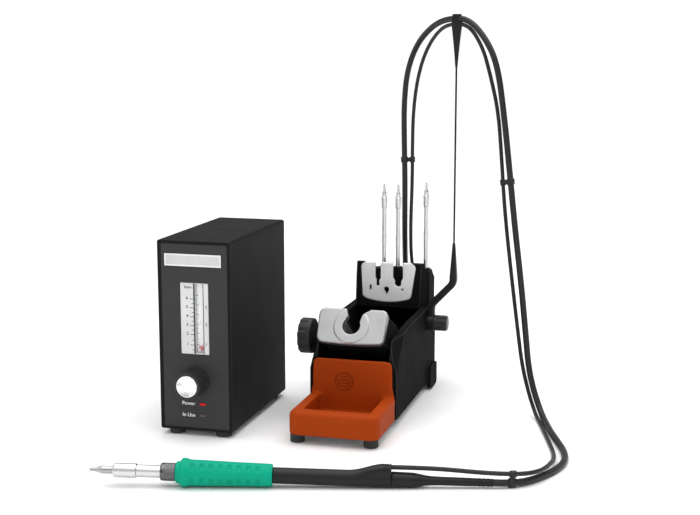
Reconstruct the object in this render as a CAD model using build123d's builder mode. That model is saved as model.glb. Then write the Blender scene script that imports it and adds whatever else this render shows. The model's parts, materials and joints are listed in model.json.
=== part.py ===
from build123d import *
from math import cos, pi, radians, sin, tan
import os

# A soldering iron station: a flow control box, a tool stand with its mast, and a handpiece
# with its cable and gas hose. All sizes are in millimetres. The set stands on the plane z = 0,
# the origin lies on that plane under the middle of the set, and the fronts face -Y.

os.makedirs("parts", exist_ok=True)

# ---------------------------------------------------------------- driving dimensions
RUN = 0.05                      # radial clearance of a shaft that turns or slides in its hole
GAP = 0.3                       # free gap between pieces that move past each other

# flow control box
BOX_W, BOX_D, BOX_H = 59.4, 129.7, 148.6
BOX_X, BOX_Y = -105.0, 17.5     # middle of the box in plan
BOX_FOOT_R, BOX_FOOT_H = 6.2, 4.5
CASE_T = 2.5                    # wall of the cover
PANEL_T = 2.0
PANEL_INSET = 0.4               # panels sit this far inside the cover's ends
SILL_T, SILL_D = 2.0, 2.3       # cross bars of the cover, under the two panels
WINDOW_W, WINDOW_H = 23.3, 56.0
WINDOW_X, WINDOW_Z = -105.25, 92.8
TUBE_X = -101.7                 # the flow tube stands right of the window's middle
TUBE_R, TUBE_BORE_R = 3.4, 2.6
KNOB_X, KNOB_Z = -105.8, 43.8
KNOB_R, KNOB_FRONT_Y = 10.5, -64.0
CAP_R = 8.4
STEM_R = 2.5
LED_X = -99.8
LED_Z = {"power_led": 25.8, "in_use_led": 16.8}
LED_W, LED_H = 4.8, 1.7
FITTING_X = (-118.0, -92.0)     # gas inlet, gas outlet
FITTING_Z = 30.0
FITTING_BORE_R, FITTING_BORE_L = 3.05, 14.0
SOCKET_Z = 100.0
JACK_BORE_R, JACK_BORE_L = 1.8, 11.0

# stand
STAND_X = 4.0                   # middle plane of the stand
STAND_W = 71.0
STAND_BACK = 166.0
WALL = 6.0
PLATE_Z, PLATE_T = 7.0, 2.0     # steel base plate
TRAY_FRONT, TRAY_BACK = -47.7, 12.0
TRAY_LIP = 11.0                 # thickness of the tray's front wall
TRAY_Z, TRAY_H, TRAY_PANEL_TOP = 7.3, 18.7, 54.0
HOLDER_X = 1.2
HOLDER_Y, HOLDER_Z = 17.65, 79.5    # middle of the holder plate's face
HOLDER_TILT = 34.0              # the face looks up by this angle from the front
HOLDER_W, HOLDER_H, HOLDER_T = 56.5, 30.0, 5.0
TOOL_R = 7.3                    # hole that the tool goes into
PIVOT_Y, PIVOT_Z = 42.0, 64.0   # axis that the holder tilts about
CLAMP_R, CLAMP_L = 14.5, 10.5   # holder clamp knob
STUD_R, PIN_R = 4.0, 3.0
BLOCK_Y, BLOCK_Z0, BLOCK_Z1 = 131.0, 72.5, 111.6
RACK_Y = 146.0
RACK_TOP = 106.0
WELL_X = (-3.8, 8.8, 21.3, 33.8)
WELL_FLOOR = (84.0, 84.0, 84.0, 86.4)
CARTRIDGE_R = 2.1

# mast
MAST_Y, MAST_Z = 128.0, 61.3    # axis that the mast tilts about
MAST_STUD_R = 3.0
ARM_X0, ARM_X1 = 39.8, 46.0
MAST_X = 62.0                   # the wire stands here
WIRE_R = 0.8
ARM_TOP, CLIP_Z0, CLIP_TOP = 131.5, 280.0, 324.0

# handpiece: its axis starts at the tip and runs back and to the right, slightly downwards
TIP = Vector(-134.0, -170.3, 11.8)
HAND_YAW, HAND_DIP = 14.2, 1.65
NOZZLE_S, NOZZLE_STEP, COLLAR_S, GRIP_S, BODY_S = 16.6, 32.8, 49.0, 59.5, 125.9
BOSS_S0, BOSS_S1, BELL_S, NECK_S, RELIEF_S = 166.0, 207.0, 221.0, 234.0, 276.6
BODY_R, BELL_R = 5.6, 5.1

# cords
CABLE_R, HOSE_R = 2.5, 1.6
CLIP_FIT = 0.4                  # radial room for the cords in the mast's clip
CORD_REACH = 0.45               # share of the shorter run that each corner's arc takes


# ---------------------------------------------------------------- planes and helpers
def front(y):
    """A sketch plane at y that faces the front: local x is X, local y is Z."""
    return Plane.XZ.offset(-y)


def side(x):
    """A sketch plane at x that faces right: local x is Y, local y is Z."""
    return Plane.YZ.offset(x)


def level(z):
    """A horizontal sketch plane at height z."""
    return Plane.XY.offset(z)


def cord_radii(points):
    """One radius for each corner of a route: the largest that its two runs allow."""
    radii = []
    for before, corner, after in zip(points, points[1:], points[2:]):
        arriving = Vector(*corner) - Vector(*before)
        leaving = Vector(*after) - Vector(*corner)
        half_turn = radians(arriving.get_angle(leaving)) / 2
        radii.append(CORD_REACH * min(arriving.length, leaving.length) / tan(half_turn))
    return radii


def print_cord(name, points, length, part, radius):
    """Prints the arcs' radii, the length, and the volume against section times length."""
    print(name, "radii", [round(r, 1) for r in cord_radii(points)])
    print(name, "length", round(length, 1), "volume share",
          round(part.volume / (pi * radius**2 * length), 4))


box_left, box_right = BOX_X - BOX_W / 2, BOX_X + BOX_W / 2
box_front, box_back = BOX_Y - BOX_D / 2, BOX_Y + BOX_D / 2
box_top = BOX_FOOT_H + BOX_H
inner_w = BOX_W - 2 * CASE_T
panel_face = box_front + PANEL_INSET
panel_back = panel_face + PANEL_T
rear_face = box_back - PANEL_INSET
panel_z0 = BOX_FOOT_H + SILL_T + 0.2
panel_z1 = box_top - CASE_T - 0.3
panel_w = inner_w - 0.8
stand_left, stand_right = STAND_X - STAND_W / 2, STAND_X + STAND_W / 2
bay_left, bay_right = stand_left + WALL, stand_right - WALL

# ================================================================ flow control box
# The cover is a folded sheet: a top and two sides, with a cross bar under each panel. It is open
# at the bottom and at both ends.
with BuildPart() as case_cover:
    with BuildSketch(front(box_back)):
        with Locations((BOX_X, BOX_FOOT_H + BOX_H / 2)):
            Rectangle(BOX_W, BOX_H)
        with Locations((BOX_X, BOX_FOOT_H + (BOX_H - CASE_T) / 2)):
            Rectangle(inner_w, BOX_H - CASE_T, mode=Mode.SUBTRACT)
    extrude(amount=BOX_D)
    with BuildSketch(level(BOX_FOOT_H)):
        for bar_y in (box_front + SILL_D / 2, box_back - SILL_D / 2):
            with Locations((BOX_X, bar_y)):
                Rectangle(BOX_W, SILL_D)
    extrude(amount=SILL_T)
    fillet(case_cover.edges().filter_by(Axis.Y).group_by(Axis.Z)[-1], 2.0)
    bottom_edges = case_cover.edges().filter_by(Axis.Y).group_by(Axis.Z)[0].sort_by(Axis.X)
    fillet([bottom_edges[0], bottom_edges[-1]], 1.6)
    chamfer(case_cover.faces().sort_by(Axis.Y)[0].outer_wire().edges(), 0.4)
    chamfer(case_cover.faces().sort_by(Axis.Y)[-1].outer_wire().edges(), 0.4)
case_cover.part.label = "case_cover"
export_step(case_cover.part, "parts/case_cover.step")

# The chassis is the floor plate and four rails that tie the two panels together.
RAIL_X, RAIL_SIZE = 22.0, 7.0
RAIL_Z = (13.5, 141.5)
SCREW_R, SCREW_L = 1.15, 9.0
with BuildPart() as chassis_frame:
    with BuildSketch(level(BOX_FOOT_H)):
        with Locations((BOX_X, BOX_Y)):
            Rectangle(inner_w - 0.4, BOX_D - 2 * (PANEL_INSET + PANEL_T) - 0.2)
    extrude(amount=2.0)
    with BuildSketch(front(rear_face - PANEL_T)):
        for rail_x in (BOX_X - RAIL_X, BOX_X + RAIL_X):
            for rail_z in RAIL_Z:
                with Locations((rail_x, rail_z)):
                    RectangleRounded(RAIL_SIZE, RAIL_SIZE, 0.8)
                    Circle(SCREW_R + RUN, mode=Mode.SUBTRACT)
    extrude(amount=rear_face - panel_back - PANEL_T)
chassis_frame.part.label = "chassis_frame"
export_step(chassis_frame.part, "parts/chassis_frame.step")

with BuildPart() as front_panel:
    with BuildSketch(front(panel_back)):
        with Locations((BOX_X, (panel_z0 + panel_z1) / 2)):
            RectangleRounded(panel_w, panel_z1 - panel_z0, 0.8)
        with Locations((WINDOW_X, WINDOW_Z)):
            Rectangle(WINDOW_W, WINDOW_H, mode=Mode.SUBTRACT)
        with Locations((KNOB_X, KNOB_Z)):
            Circle(5.0, mode=Mode.SUBTRACT)
        for led_z in LED_Z.values():
            with Locations((LED_X, led_z)):
                Rectangle(LED_W + 0.2, LED_H + 0.2, mode=Mode.SUBTRACT)
    extrude(amount=PANEL_T)
front_panel.part.label = "front_panel"
export_step(front_panel.part, "parts/front_panel.step")

VENT_Z, VENT_PITCH, VENTS = 118.0, 4.0, 5
with BuildPart() as rear_panel:
    with BuildSketch(front(rear_face)):
        with Locations((BOX_X, (panel_z0 + panel_z1) / 2)):
            RectangleRounded(panel_w, panel_z1 - panel_z0, 0.8)
        with Locations((FITTING_X[0], FITTING_Z), (FITTING_X[1], FITTING_Z)):
            Circle(5.1, mode=Mode.SUBTRACT)
        with Locations((BOX_X, SOCKET_Z)):
            Circle(6.1, mode=Mode.SUBTRACT)
        for rail_x in (BOX_X - RAIL_X, BOX_X + RAIL_X):
            with Locations((rail_x, RAIL_Z[0]), (rail_x, RAIL_Z[1])):
                Circle(SCREW_R + RUN, mode=Mode.SUBTRACT)
        for vent in range(VENTS):
            with Locations((BOX_X, VENT_Z + vent * VENT_PITCH)):
                SlotOverall(26.0, 1.8, mode=Mode.SUBTRACT)
    extrude(amount=PANEL_T)
rear_panel.part.label = "rear_panel"
export_step(rear_panel.part, "parts/rear_panel.step")

BADGE_W, BADGE_H, BADGE_T = 45.8, 9.4, 0.8
with BuildPart() as badge_plate:
    with BuildSketch(front(panel_face)):
        with Locations((-105.7, 138.1)):
            RectangleRounded(BADGE_W, BADGE_H, 0.7)
    extrude(amount=BADGE_T)
    chamfer(badge_plate.faces().sort_by(Axis.Y)[0].edges(), 0.2)
badge_plate.part.label = "badge_plate"
export_step(badge_plate.part, "parts/badge_plate.step")

# The flow meter: a metal body behind the window, with a glass tube in its front slot.
METER_W, METER_H, METER_D = WINDOW_W - 0.6, WINDOW_H - 0.6, 21.0
METER_FACE = panel_face + 1.0
SLOT_H = 54.0
SLOT_W, SLOT_D = 7.2, 9.0
PORT_R = 1.5
TUBE_Y = METER_FACE + 4.6
meter_ports = (WINDOW_Z - SLOT_H / 2 + 4, WINDOW_Z + SLOT_H / 2 - 4)
with BuildPart() as flowmeter_body:
    with BuildSketch(front(METER_FACE + METER_D)):
        with Locations((WINDOW_X, WINDOW_Z)):
            RectangleRounded(METER_W, METER_H, 0.6)
    extrude(amount=METER_D)
    with BuildSketch(front(panel_back + 3.0)):
        with Locations((WINDOW_X, WINDOW_Z)):
            Rectangle(METER_W + 6, METER_H + 6)
    extrude(amount=3.0)
    with BuildSketch(front(METER_FACE)):
        with Locations((TUBE_X, WINDOW_Z)):
            Rectangle(SLOT_W, SLOT_H)
    extrude(amount=-SLOT_D, mode=Mode.SUBTRACT)
    with BuildSketch(front(METER_FACE + METER_D)):
        with Locations((TUBE_X, meter_ports[0]), (TUBE_X, meter_ports[1])):
            Circle(PORT_R)
    extrude(amount=METER_D - SLOT_D + 1, mode=Mode.SUBTRACT)
flowmeter_body.part.label = "flowmeter_body"
export_step(flowmeter_body.part, "parts/flowmeter_body.step")

with BuildPart() as scale_plate:
    with BuildSketch(front(METER_FACE)):
        with Locations((WINDOW_X, WINDOW_Z)):
            RectangleRounded(METER_W, METER_H, 0.6)
        with Locations((TUBE_X, WINDOW_Z)):
            Rectangle(SLOT_W - 0.2, SLOT_H, mode=Mode.SUBTRACT)
    extrude(amount=0.5)
scale_plate.part.label = "scale_plate"
export_step(scale_plate.part, "parts/scale_plate.step")

tube_z0 = WINDOW_Z - SLOT_H / 2
TUBE_END = 0.8                  # thickness of the glass at each end of the bore
with BuildPart() as flow_tube:
    with BuildSketch(level(tube_z0)):
        with Locations((TUBE_X, TUBE_Y)):
            Circle(TUBE_R)
    extrude(amount=SLOT_H)
    with BuildSketch(level(tube_z0 + TUBE_END)):
        with Locations((TUBE_X, TUBE_Y)):
            Circle(TUBE_BORE_R)
    extrude(amount=SLOT_H - 2 * TUBE_END, mode=Mode.SUBTRACT)
flow_tube.part.label = "flow_tube"
export_step(flow_tube.part, "parts/flow_tube.step")

# The float is a disc on a stem and rests near the bottom of the tube.
FLOAT_R, FLOAT_DISC, FLOAT_STEM_R, FLOAT_STEM = 2.2, 1.3, 1.0, 2.2
float_z = tube_z0 + TUBE_END + 0.1
with BuildPart() as flow_float:
    with BuildSketch(level(float_z)):
        with Locations((TUBE_X, TUBE_Y)):
            Circle(FLOAT_STEM_R)
    extrude(amount=FLOAT_STEM)
    with BuildSketch(level(float_z + FLOAT_STEM)):
        with Locations((TUBE_X, TUBE_Y)):
            Circle(FLOAT_R)
    extrude(amount=FLOAT_DISC)
flow_float.part.label = "flow_float"
export_step(flow_float.part, "parts/flow_float.step")

# The needle valve screws into the panel, and its stem carries the knob.
VALVE_HEX_R, VALVE_D = 8.0, 20.0
valve_end = panel_back + VALVE_D
with BuildPart() as needle_valve:
    with BuildSketch(front(valve_end)):
        with Locations((KNOB_X, KNOB_Z)):
            RegularPolygon(VALVE_HEX_R, 6, rotation=30)
    extrude(amount=VALVE_D)
    with BuildSketch(front(panel_back)):
        with Locations((KNOB_X, KNOB_Z)):
            Circle(4.9)
    extrude(amount=PANEL_T)
    with BuildSketch(front(valve_end + 5.0)):
        with Locations((KNOB_X, KNOB_Z)):
            Circle(2.0)
    extrude(amount=5.0)
    with BuildSketch(front(panel_face)):
        with Locations((KNOB_X, KNOB_Z)):
            Circle(STEM_R + RUN)
    extrude(amount=-(PANEL_T + VALVE_D - 5.0), mode=Mode.SUBTRACT)
needle_valve.part.label = "needle_valve"
export_step(needle_valve.part, "parts/needle_valve.step")

stem_front = KNOB_FRONT_Y + 5.0
stem_end = valve_end - 7.0
with BuildPart() as valve_stem:
    with BuildSketch(front(stem_end)):
        with Locations((KNOB_X, KNOB_Z)):
            Circle(STEM_R)
    extrude(amount=stem_end - stem_front)
    chamfer(valve_stem.faces().sort_by(Axis.Y)[-1].edges(), 1.5)
valve_stem.part.label = "valve_stem"
export_step(valve_stem.part, "parts/valve_stem.step")

KNOB_BACK_Y = panel_face - 0.6
FLUTES, FLUTE_R = 28, 0.55
with BuildPart() as flow_knob:
    with BuildSketch(front(KNOB_BACK_Y)):
        with Locations((KNOB_X, KNOB_Z)):
            Circle(KNOB_R + 1.0)
    extrude(amount=2.4)
    with BuildSketch(front(KNOB_BACK_Y)):
        with Locations((KNOB_X, KNOB_Z)):
            Circle(KNOB_R)
    extrude(amount=KNOB_BACK_Y - KNOB_FRONT_Y)
    fillet(flow_knob.faces().sort_by(Axis.Y)[0].edges(), 0.8)
    with BuildSketch(front(KNOB_FRONT_Y)):
        with Locations((KNOB_X, KNOB_Z)):
            with PolarLocations(KNOB_R + 0.15, FLUTES):
                Circle(FLUTE_R)
    extrude(amount=-(KNOB_BACK_Y - KNOB_FRONT_Y - 2.4), mode=Mode.SUBTRACT)
    with BuildSketch(front(KNOB_FRONT_Y)):
        with Locations((KNOB_X, KNOB_Z)):
            Circle(CAP_R + 0.1)
    extrude(amount=-0.8, mode=Mode.SUBTRACT)
    with BuildSketch(front(KNOB_BACK_Y)):
        with Locations((KNOB_X, KNOB_Z)):
            Circle(STEM_R)
    extrude(amount=KNOB_BACK_Y - stem_front, mode=Mode.SUBTRACT)
flow_knob.part.label = "flow_knob"
export_step(flow_knob.part, "parts/flow_knob.step")

with BuildPart() as knob_cap:
    with BuildSketch(front(KNOB_FRONT_Y + 0.8)):
        with Locations((KNOB_X, KNOB_Z)):
            Circle(CAP_R)
    extrude(amount=1.0)
    chamfer(knob_cap.faces().sort_by(Axis.Y)[0].edges(), 0.3)
knob_cap.part.label = "knob_cap"
export_step(knob_cap.part, "parts/knob_cap.step")

# The two indicator lights: a lens in the panel, a flange behind it and two legs to the board.
BOARD_Y = panel_back + 8.0


def indicator(centre_z):
    """One light, with its legs reaching back to the circuit board."""
    with BuildPart() as light:
        with BuildSketch(front(panel_back)):
            with Locations((LED_X, centre_z)):
                RectangleRounded(LED_W, LED_H, 0.5)
        extrude(amount=PANEL_T + 0.4)
        with BuildSketch(front(panel_back + 1.2)):
            with Locations((LED_X, centre_z)):
                Rectangle(LED_W + 1.6, LED_H + 1.6)
        extrude(amount=1.2)
        with BuildSketch(front(BOARD_Y)):
            with Locations((LED_X - 1.3, centre_z), (LED_X + 1.3, centre_z)):
                Rectangle(0.5, 0.5)
        extrude(amount=BOARD_Y - panel_back - 1.2)
    return light.part


power_led = indicator(LED_Z["power_led"])
power_led.label = "power_led"
export_step(power_led, "parts/power_led.step")
in_use_led = indicator(LED_Z["in_use_led"])
in_use_led.label = "in_use_led"
export_step(in_use_led, "parts/in_use_led.step")

BOARD_W, BOARD_Z0, BOARD_Z1, BOARD_T = 30.0, 8.0, 34.0, 1.6
with BuildPart() as control_board:
    with BuildSketch(front(BOARD_Y + BOARD_T)):
        with Locations((BOX_X, (BOARD_Z0 + BOARD_Z1) / 2)):
            Rectangle(BOARD_W, BOARD_Z1 - BOARD_Z0)
    extrude(amount=BOARD_T)
    with BuildSketch(front(BOARD_Y + BOARD_T + 3.0)):
        with Locations((BOX_X - 7, 22)):
            Rectangle(9, 9)
        with Locations((BOX_X + 7, 15), (BOX_X + 7, 24)):
            Rectangle(8, 5)
    extrude(amount=3.0)
control_board.part.label = "control_board"
export_step(control_board.part, "parts/control_board.step")

# A solenoid valve on the chassis floor opens the gas when the tool is in use.
VALVE_Y0, VALVE_Y1, VALVE_AXIS_Z = 25.0, 49.0, 13.6
with BuildPart() as solenoid_valve:
    with BuildSketch(level(BOX_FOOT_H + 2.0)):
        with Locations((BOX_X, (VALVE_Y0 + VALVE_Y1) / 2)):
            Rectangle(20, VALVE_Y1 - VALVE_Y0)
    extrude(amount=14.0)
    fillet(solenoid_valve.edges().filter_by(Axis.Z), 1.5)
    with BuildSketch(level(BOX_FOOT_H + 16.0)):
        with Locations((BOX_X, (VALVE_Y0 + VALVE_Y1) / 2)):
            Circle(4.5)
    extrude(amount=26.0)
    with BuildSketch(level(BOX_FOOT_H + 18.0)):
        with Locations((BOX_X, (VALVE_Y0 + VALVE_Y1) / 2)):
            RectangleRounded(21, 21, 4)
    extrude(amount=21.0)
solenoid_valve.part.label = "solenoid_valve"
export_step(solenoid_valve.part, "parts/solenoid_valve.step")

# Inner tubing, in the order in which the gas runs.
FITTING_INNER = rear_face - 16.0
INNER_TUBE_R = 2.0
inner_routes = [
    [(FITTING_X[0], FITTING_INNER, FITTING_Z), (FITTING_X[0], FITTING_INNER - 7, FITTING_Z),
     (-112.0, 59.0, 19.0), (BOX_X, 57.5, VALVE_AXIS_Z), (BOX_X, VALVE_Y1, VALVE_AXIS_Z)],
    [(BOX_X, VALVE_Y0, VALVE_AXIS_Z), (BOX_X, 13.0, VALVE_AXIS_Z), (-105.5, 2.0, 29.0),
     (KNOB_X, -8.0, KNOB_Z), (KNOB_X, valve_end + 5.0, KNOB_Z)],
    [(TUBE_X, METER_FACE + METER_D, meter_ports[0]), (TUBE_X, -14.0, meter_ports[0]),
     (-93.0, -8.0, 62.0), (-90.0, -15.0, 50.0), (-90.0, -30.0, KNOB_Z),
     (KNOB_X + 7.0, -30.0, KNOB_Z)],
    [(TUBE_X, METER_FACE + METER_D, meter_ports[1]), (TUBE_X, -12.0, meter_ports[1]),
     (-99.0, 10.0, 104.0), (-95.0, 35.0, 68.0), (FITTING_X[1], 48.0, 34.0),
     (FITTING_X[1], FITTING_INNER - 7, FITTING_Z), (FITTING_X[1], FITTING_INNER, FITTING_Z)],
]
with BuildPart() as inner_tubes:
    for route in inner_routes:
        with BuildLine() as inner_line:
            FilletPolyline(*route, radius=cord_radii(route))
        with BuildSketch(inner_line.line ^ 0):
            Circle(INNER_TUBE_R)
        sweep(path=inner_line.line)
inner_tubes.part.label = "inner_tubes"
export_step(inner_tubes.part, "parts/inner_tubes.step")

# Two push-in gas fittings: hexagon and release ring outside, nut and barb inside.
with BuildPart() as gas_fittings:
    for fitting_x in FITTING_X:
        with BuildSketch(front(rear_face + 4.0)):
            with Locations((fitting_x, FITTING_Z)):
                RegularPolygon(7.0, 6, major_radius=False)
        extrude(amount=4.0)
        with BuildSketch(front(rear_face + 10.0)):
            with Locations((fitting_x, FITTING_Z)):
                Circle(5.4)
        extrude(amount=6.0)
        with BuildSketch(front(rear_face)):
            with Locations((fitting_x, FITTING_Z)):
                Circle(5.0)
        extrude(amount=12.0)
        with BuildSketch(front(rear_face - PANEL_T)):
            with Locations((fitting_x, FITTING_Z)):
                RegularPolygon(7.0, 6, major_radius=False)
        extrude(amount=3.0)
        with BuildSketch(front(rear_face - 12.0)):
            with Locations((fitting_x, FITTING_Z)):
                Circle(2.0)
        extrude(amount=4.0)
        with BuildSketch(front(rear_face + 10.0)):
            with Locations((fitting_x, FITTING_Z)):
                Circle(FITTING_BORE_R)
        extrude(amount=FITTING_BORE_L, mode=Mode.SUBTRACT)
gas_fittings.part.label = "gas_fittings"
export_step(gas_fittings.part, "parts/gas_fittings.step")

with BuildPart() as signal_socket:
    with BuildSketch(front(rear_face + 2.0)):
        with Locations((BOX_X, SOCKET_Z)):
            Circle(7.5)
    extrude(amount=2.0)
    with BuildSketch(front(rear_face)):
        with Locations((BOX_X, SOCKET_Z)):
            Circle(6.0)
    extrude(amount=14.0)
    with BuildSketch(front(rear_face + 2.0)):
        with Locations((BOX_X, SOCKET_Z)):
            Circle(JACK_BORE_R)
    extrude(amount=JACK_BORE_L, mode=Mode.SUBTRACT)
signal_socket.part.label = "signal_socket"
export_step(signal_socket.part, "parts/signal_socket.step")

with BuildPart() as box_screws:
    for rail_x in (BOX_X - RAIL_X, BOX_X + RAIL_X):
        for rail_z in RAIL_Z:
            with BuildSketch(front(rear_face + 1.8)):
                with Locations((rail_x, rail_z)):
                    Circle(2.8)
            extrude(amount=1.8)
            with BuildSketch(front(rear_face)):
                with Locations((rail_x, rail_z)):
                    Circle(SCREW_R)
            extrude(amount=SCREW_L)
            with BuildSketch(front(rear_face + 1.8)):
                with Locations((rail_x, rail_z)):
                    Rectangle(3.4, 0.8)
                    Rectangle(0.8, 3.4)
            extrude(amount=1.0, mode=Mode.SUBTRACT)
box_screws.part.label = "box_screws"
export_step(box_screws.part, "parts/box_screws.step")

FOOT_INSET_X, FOOT_Y0, FOOT_Y1 = 10.4, -39.0, 73.0
with BuildPart() as box_feet:
    with BuildSketch(level(0)):
        for foot_x in (box_left + FOOT_INSET_X, box_right - FOOT_INSET_X):
            with Locations((foot_x, FOOT_Y0), (foot_x, FOOT_Y1)):
                Circle(BOX_FOOT_R)
    extrude(amount=BOX_FOOT_H)
    fillet(box_feet.edges().group_by(Axis.Z)[0], 0.6)
box_feet.part.label = "box_feet"
export_step(box_feet.part, "parts/box_feet.step")

# ================================================================ stand
TONGUE_W = 65.4
with BuildPart() as base_plate:
    with BuildSketch(level(PLATE_Z)):
        with Locations((STAND_X, (TRAY_FRONT + 4.2 + 162.0) / 2)):
            RectangleRounded(TONGUE_W, 162.0 - TRAY_FRONT - 4.2, 3.0)
    extrude(amount=PLATE_T)
base_plate.part.label = "base_plate"
export_step(base_plate.part, "parts/base_plate.step")

STAND_FOOT_R = 5.6
FOOT_PLACES = ((-30.5, -37.5), (27.5, -37.5), (-27.0, 152.0), (27.0, 152.0))
with BuildPart() as stand_feet:
    with BuildSketch(level(0)):
        with Locations(*[(STAND_X + foot_x, foot_y) for foot_x, foot_y in FOOT_PLACES]):
            Circle(STAND_FOOT_R)
    extrude(amount=PLATE_Z)
    fillet(stand_feet.edges().group_by(Axis.Z)[0], 0.8)
stand_feet.part.label = "stand_feet"
export_step(stand_feet.part, "parts/stand_feet.step")

# The body: two side walls joined by a floor, a low front wall and a rear wall.
BODY_FRONT = TRAY_BACK + 0.6
BODY_TOP = 73.5
PAD_Y0, PAD_Y1, PAD_Z0, PAD_Z1, PAD_OUT = 129.0, 154.0, 1.5, 21.5, 3.6
CABLE_X, HOSE_X, PLUG_Z = 0.0, 20.0, 36.0
CABLE_HOLE_R, HOSE_HOLE_R = 8.0, 5.0
with BuildPart() as stand_body:
    with BuildSketch(side(stand_left)):
        with BuildLine():
            Polyline((BODY_FRONT, PLATE_Z), (BODY_FRONT, 56), (19, 69), (50, 72.3), (76, BODY_TOP),
                     (STAND_BACK, BODY_TOP), (STAND_BACK, PLATE_Z), close=True)
        make_face()
    extrude(amount=STAND_W)
    fillet(stand_body.edges().filter_by(Axis.Z).group_by(Axis.Y)[-1], 4.0)
    # the outer front corner of each wall is cut off at a slant
    for outer, inner in ((stand_right + 0.1, bay_right - 0.1), (stand_left - 0.1, bay_left + 0.1)):
        with BuildSketch(side(outer)):
            with BuildLine():
                Polyline((8, 40), (60, 92), (8, 92), close=True)
            make_face()
        with BuildSketch(side(inner)):
            with BuildLine():
                Polyline((8, 58), (60, 110), (8, 110), close=True)
            make_face()
        loft(mode=Mode.SUBTRACT)
    # the tool bay between the walls, open at the top and, above its front wall, at the front
    with BuildSketch(side(bay_left)):
        with BuildLine():
            Polyline((18, 12), (18, 44), (8, 44), (8, 90), (160, 90), (160, 12), close=True)
        make_face()
    extrude(amount=bay_right - bay_left, mode=Mode.SUBTRACT)
    # the underside fits over the base plate
    with BuildSketch(level(PLATE_Z)):
        with Locations((STAND_X, 87.15)):
            Rectangle(TONGUE_W + 0.4, 150.3)
    extrude(amount=PLATE_T, mode=Mode.SUBTRACT)
    # a pad stands out at the rear of each side
    for pad_x in (stand_right, stand_left - PAD_OUT):
        with BuildSketch(side(pad_x)):
            with Locations(((PAD_Y0 + PAD_Y1) / 2, (PAD_Z0 + PAD_Z1) / 2)):
                RectangleRounded(PAD_Y1 - PAD_Y0, PAD_Z1 - PAD_Z0, 4.0)
        extrude(amount=PAD_OUT)
    # the boss of the holder's clamp, its hole, and the holes of the pin and of the mast's stud
    with BuildSketch(side(stand_left - 5.2)):
        with Locations((PIVOT_Y, PIVOT_Z)):
            Circle(10.0)
    extrude(amount=WALL + 5.2)
    with BuildSketch(side(stand_left - 5.2)):
        with Locations((PIVOT_Y, PIVOT_Z)):
            Circle(STUD_R + RUN)
    extrude(amount=WALL + 5.2, mode=Mode.SUBTRACT)
    with BuildSketch(side(bay_right)):
        with Locations((PIVOT_Y, PIVOT_Z)):
            Circle(PIN_R)
    extrude(amount=4.5, mode=Mode.SUBTRACT)
    with BuildSketch(side(bay_right)):
        with Locations((MAST_Y, MAST_Z)):
            Circle(MAST_STUD_R + RUN)
    extrude(amount=WALL, mode=Mode.SUBTRACT)
    # a short vertical slot in the right wall, and the two socket holes in the rear wall
    with BuildSketch(side(stand_right - 2.0)):
        with Locations((117.6, 49.2)):
            SlotOverall(7.2, 1.4, rotation=90)
    extrude(amount=2.0, mode=Mode.SUBTRACT)
    with BuildSketch(front(STAND_BACK)):
        with Locations((CABLE_X, PLUG_Z)):
            Circle(CABLE_HOLE_R)
        with Locations((HOSE_X, PLUG_Z)):
            Circle(HOSE_HOLE_R)
    extrude(amount=6.0, mode=Mode.SUBTRACT)
stand_body.part.label = "stand_body"
export_step(stand_body.part, "parts/stand_body.step")

# The tray: a thick-walled cup with a tall back panel; its underside slides over the tongue.
TRAY_CUP_W = 52.0
TRAY_PANEL_W = 64.0
with BuildPart() as tray:
    with BuildSketch(level(TRAY_Z)):
        with Locations((STAND_X, (TRAY_FRONT + TRAY_BACK) / 2)):
            RectangleRounded(STAND_W, TRAY_BACK - TRAY_FRONT, 7.0)
    extrude(amount=TRAY_H)
    fillet(tray.faces().sort_by(Axis.Z)[-1].edges(), 4.0)
    with BuildSketch(front(TRAY_BACK)):
        with BuildLine() as panel_line:
            Polyline((STAND_X - 34.5, TRAY_Z + 8), (STAND_X - 34.5, TRAY_Z + TRAY_H - 3),
                     (STAND_X - TRAY_PANEL_W / 2 - 0.6, 32), (STAND_X - TRAY_PANEL_W / 2, TRAY_PANEL_TOP),
                     (STAND_X + TRAY_PANEL_W / 2, TRAY_PANEL_TOP), (STAND_X + TRAY_PANEL_W / 2 + 0.6, 32),
                     (STAND_X + 34.5, TRAY_Z + TRAY_H - 3), (STAND_X + 34.5, TRAY_Z + 8), close=True)
        make_face()
        fillet(panel_line.vertices().group_by(Axis.Z)[-1], 4.0)
    extrude(amount=3.0)
    with BuildSketch(level(TRAY_Z + TRAY_H)):
        with Locations((STAND_X, (TRAY_FRONT + TRAY_LIP + TRAY_BACK - 3.0) / 2)):
            RectangleRounded(TRAY_CUP_W, TRAY_BACK - 3.0 - TRAY_FRONT - TRAY_LIP, 3.0)
    extrude(amount=-(TRAY_H - 4.2), mode=Mode.SUBTRACT)
    with BuildSketch(level(TRAY_Z)):
        with Locations((STAND_X, (TRAY_FRONT + 3.6 + TRAY_BACK) / 2)):
            Rectangle(TONGUE_W + 2 * GAP, TRAY_BACK - TRAY_FRONT - 3.6)
    extrude(amount=PLATE_Z + PLATE_T + GAP - TRAY_Z, mode=Mode.SUBTRACT)
tray.part.label = "tray"
export_step(tray.part, "parts/tray.step")

# ---------------------------------------------------------------- tool holder
# The holder's own plane: local z is the plate's normal, local y climbs the plate.
normal = Vector(0, -cos(radians(HOLDER_TILT)), sin(radians(HOLDER_TILT)))
holder_face = Plane(origin=(HOLDER_X, HOLDER_Y, HOLDER_Z), x_dir=(1, 0, 0), z_dir=normal)
RING_R, RING_H = 14.8, 0.9


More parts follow.
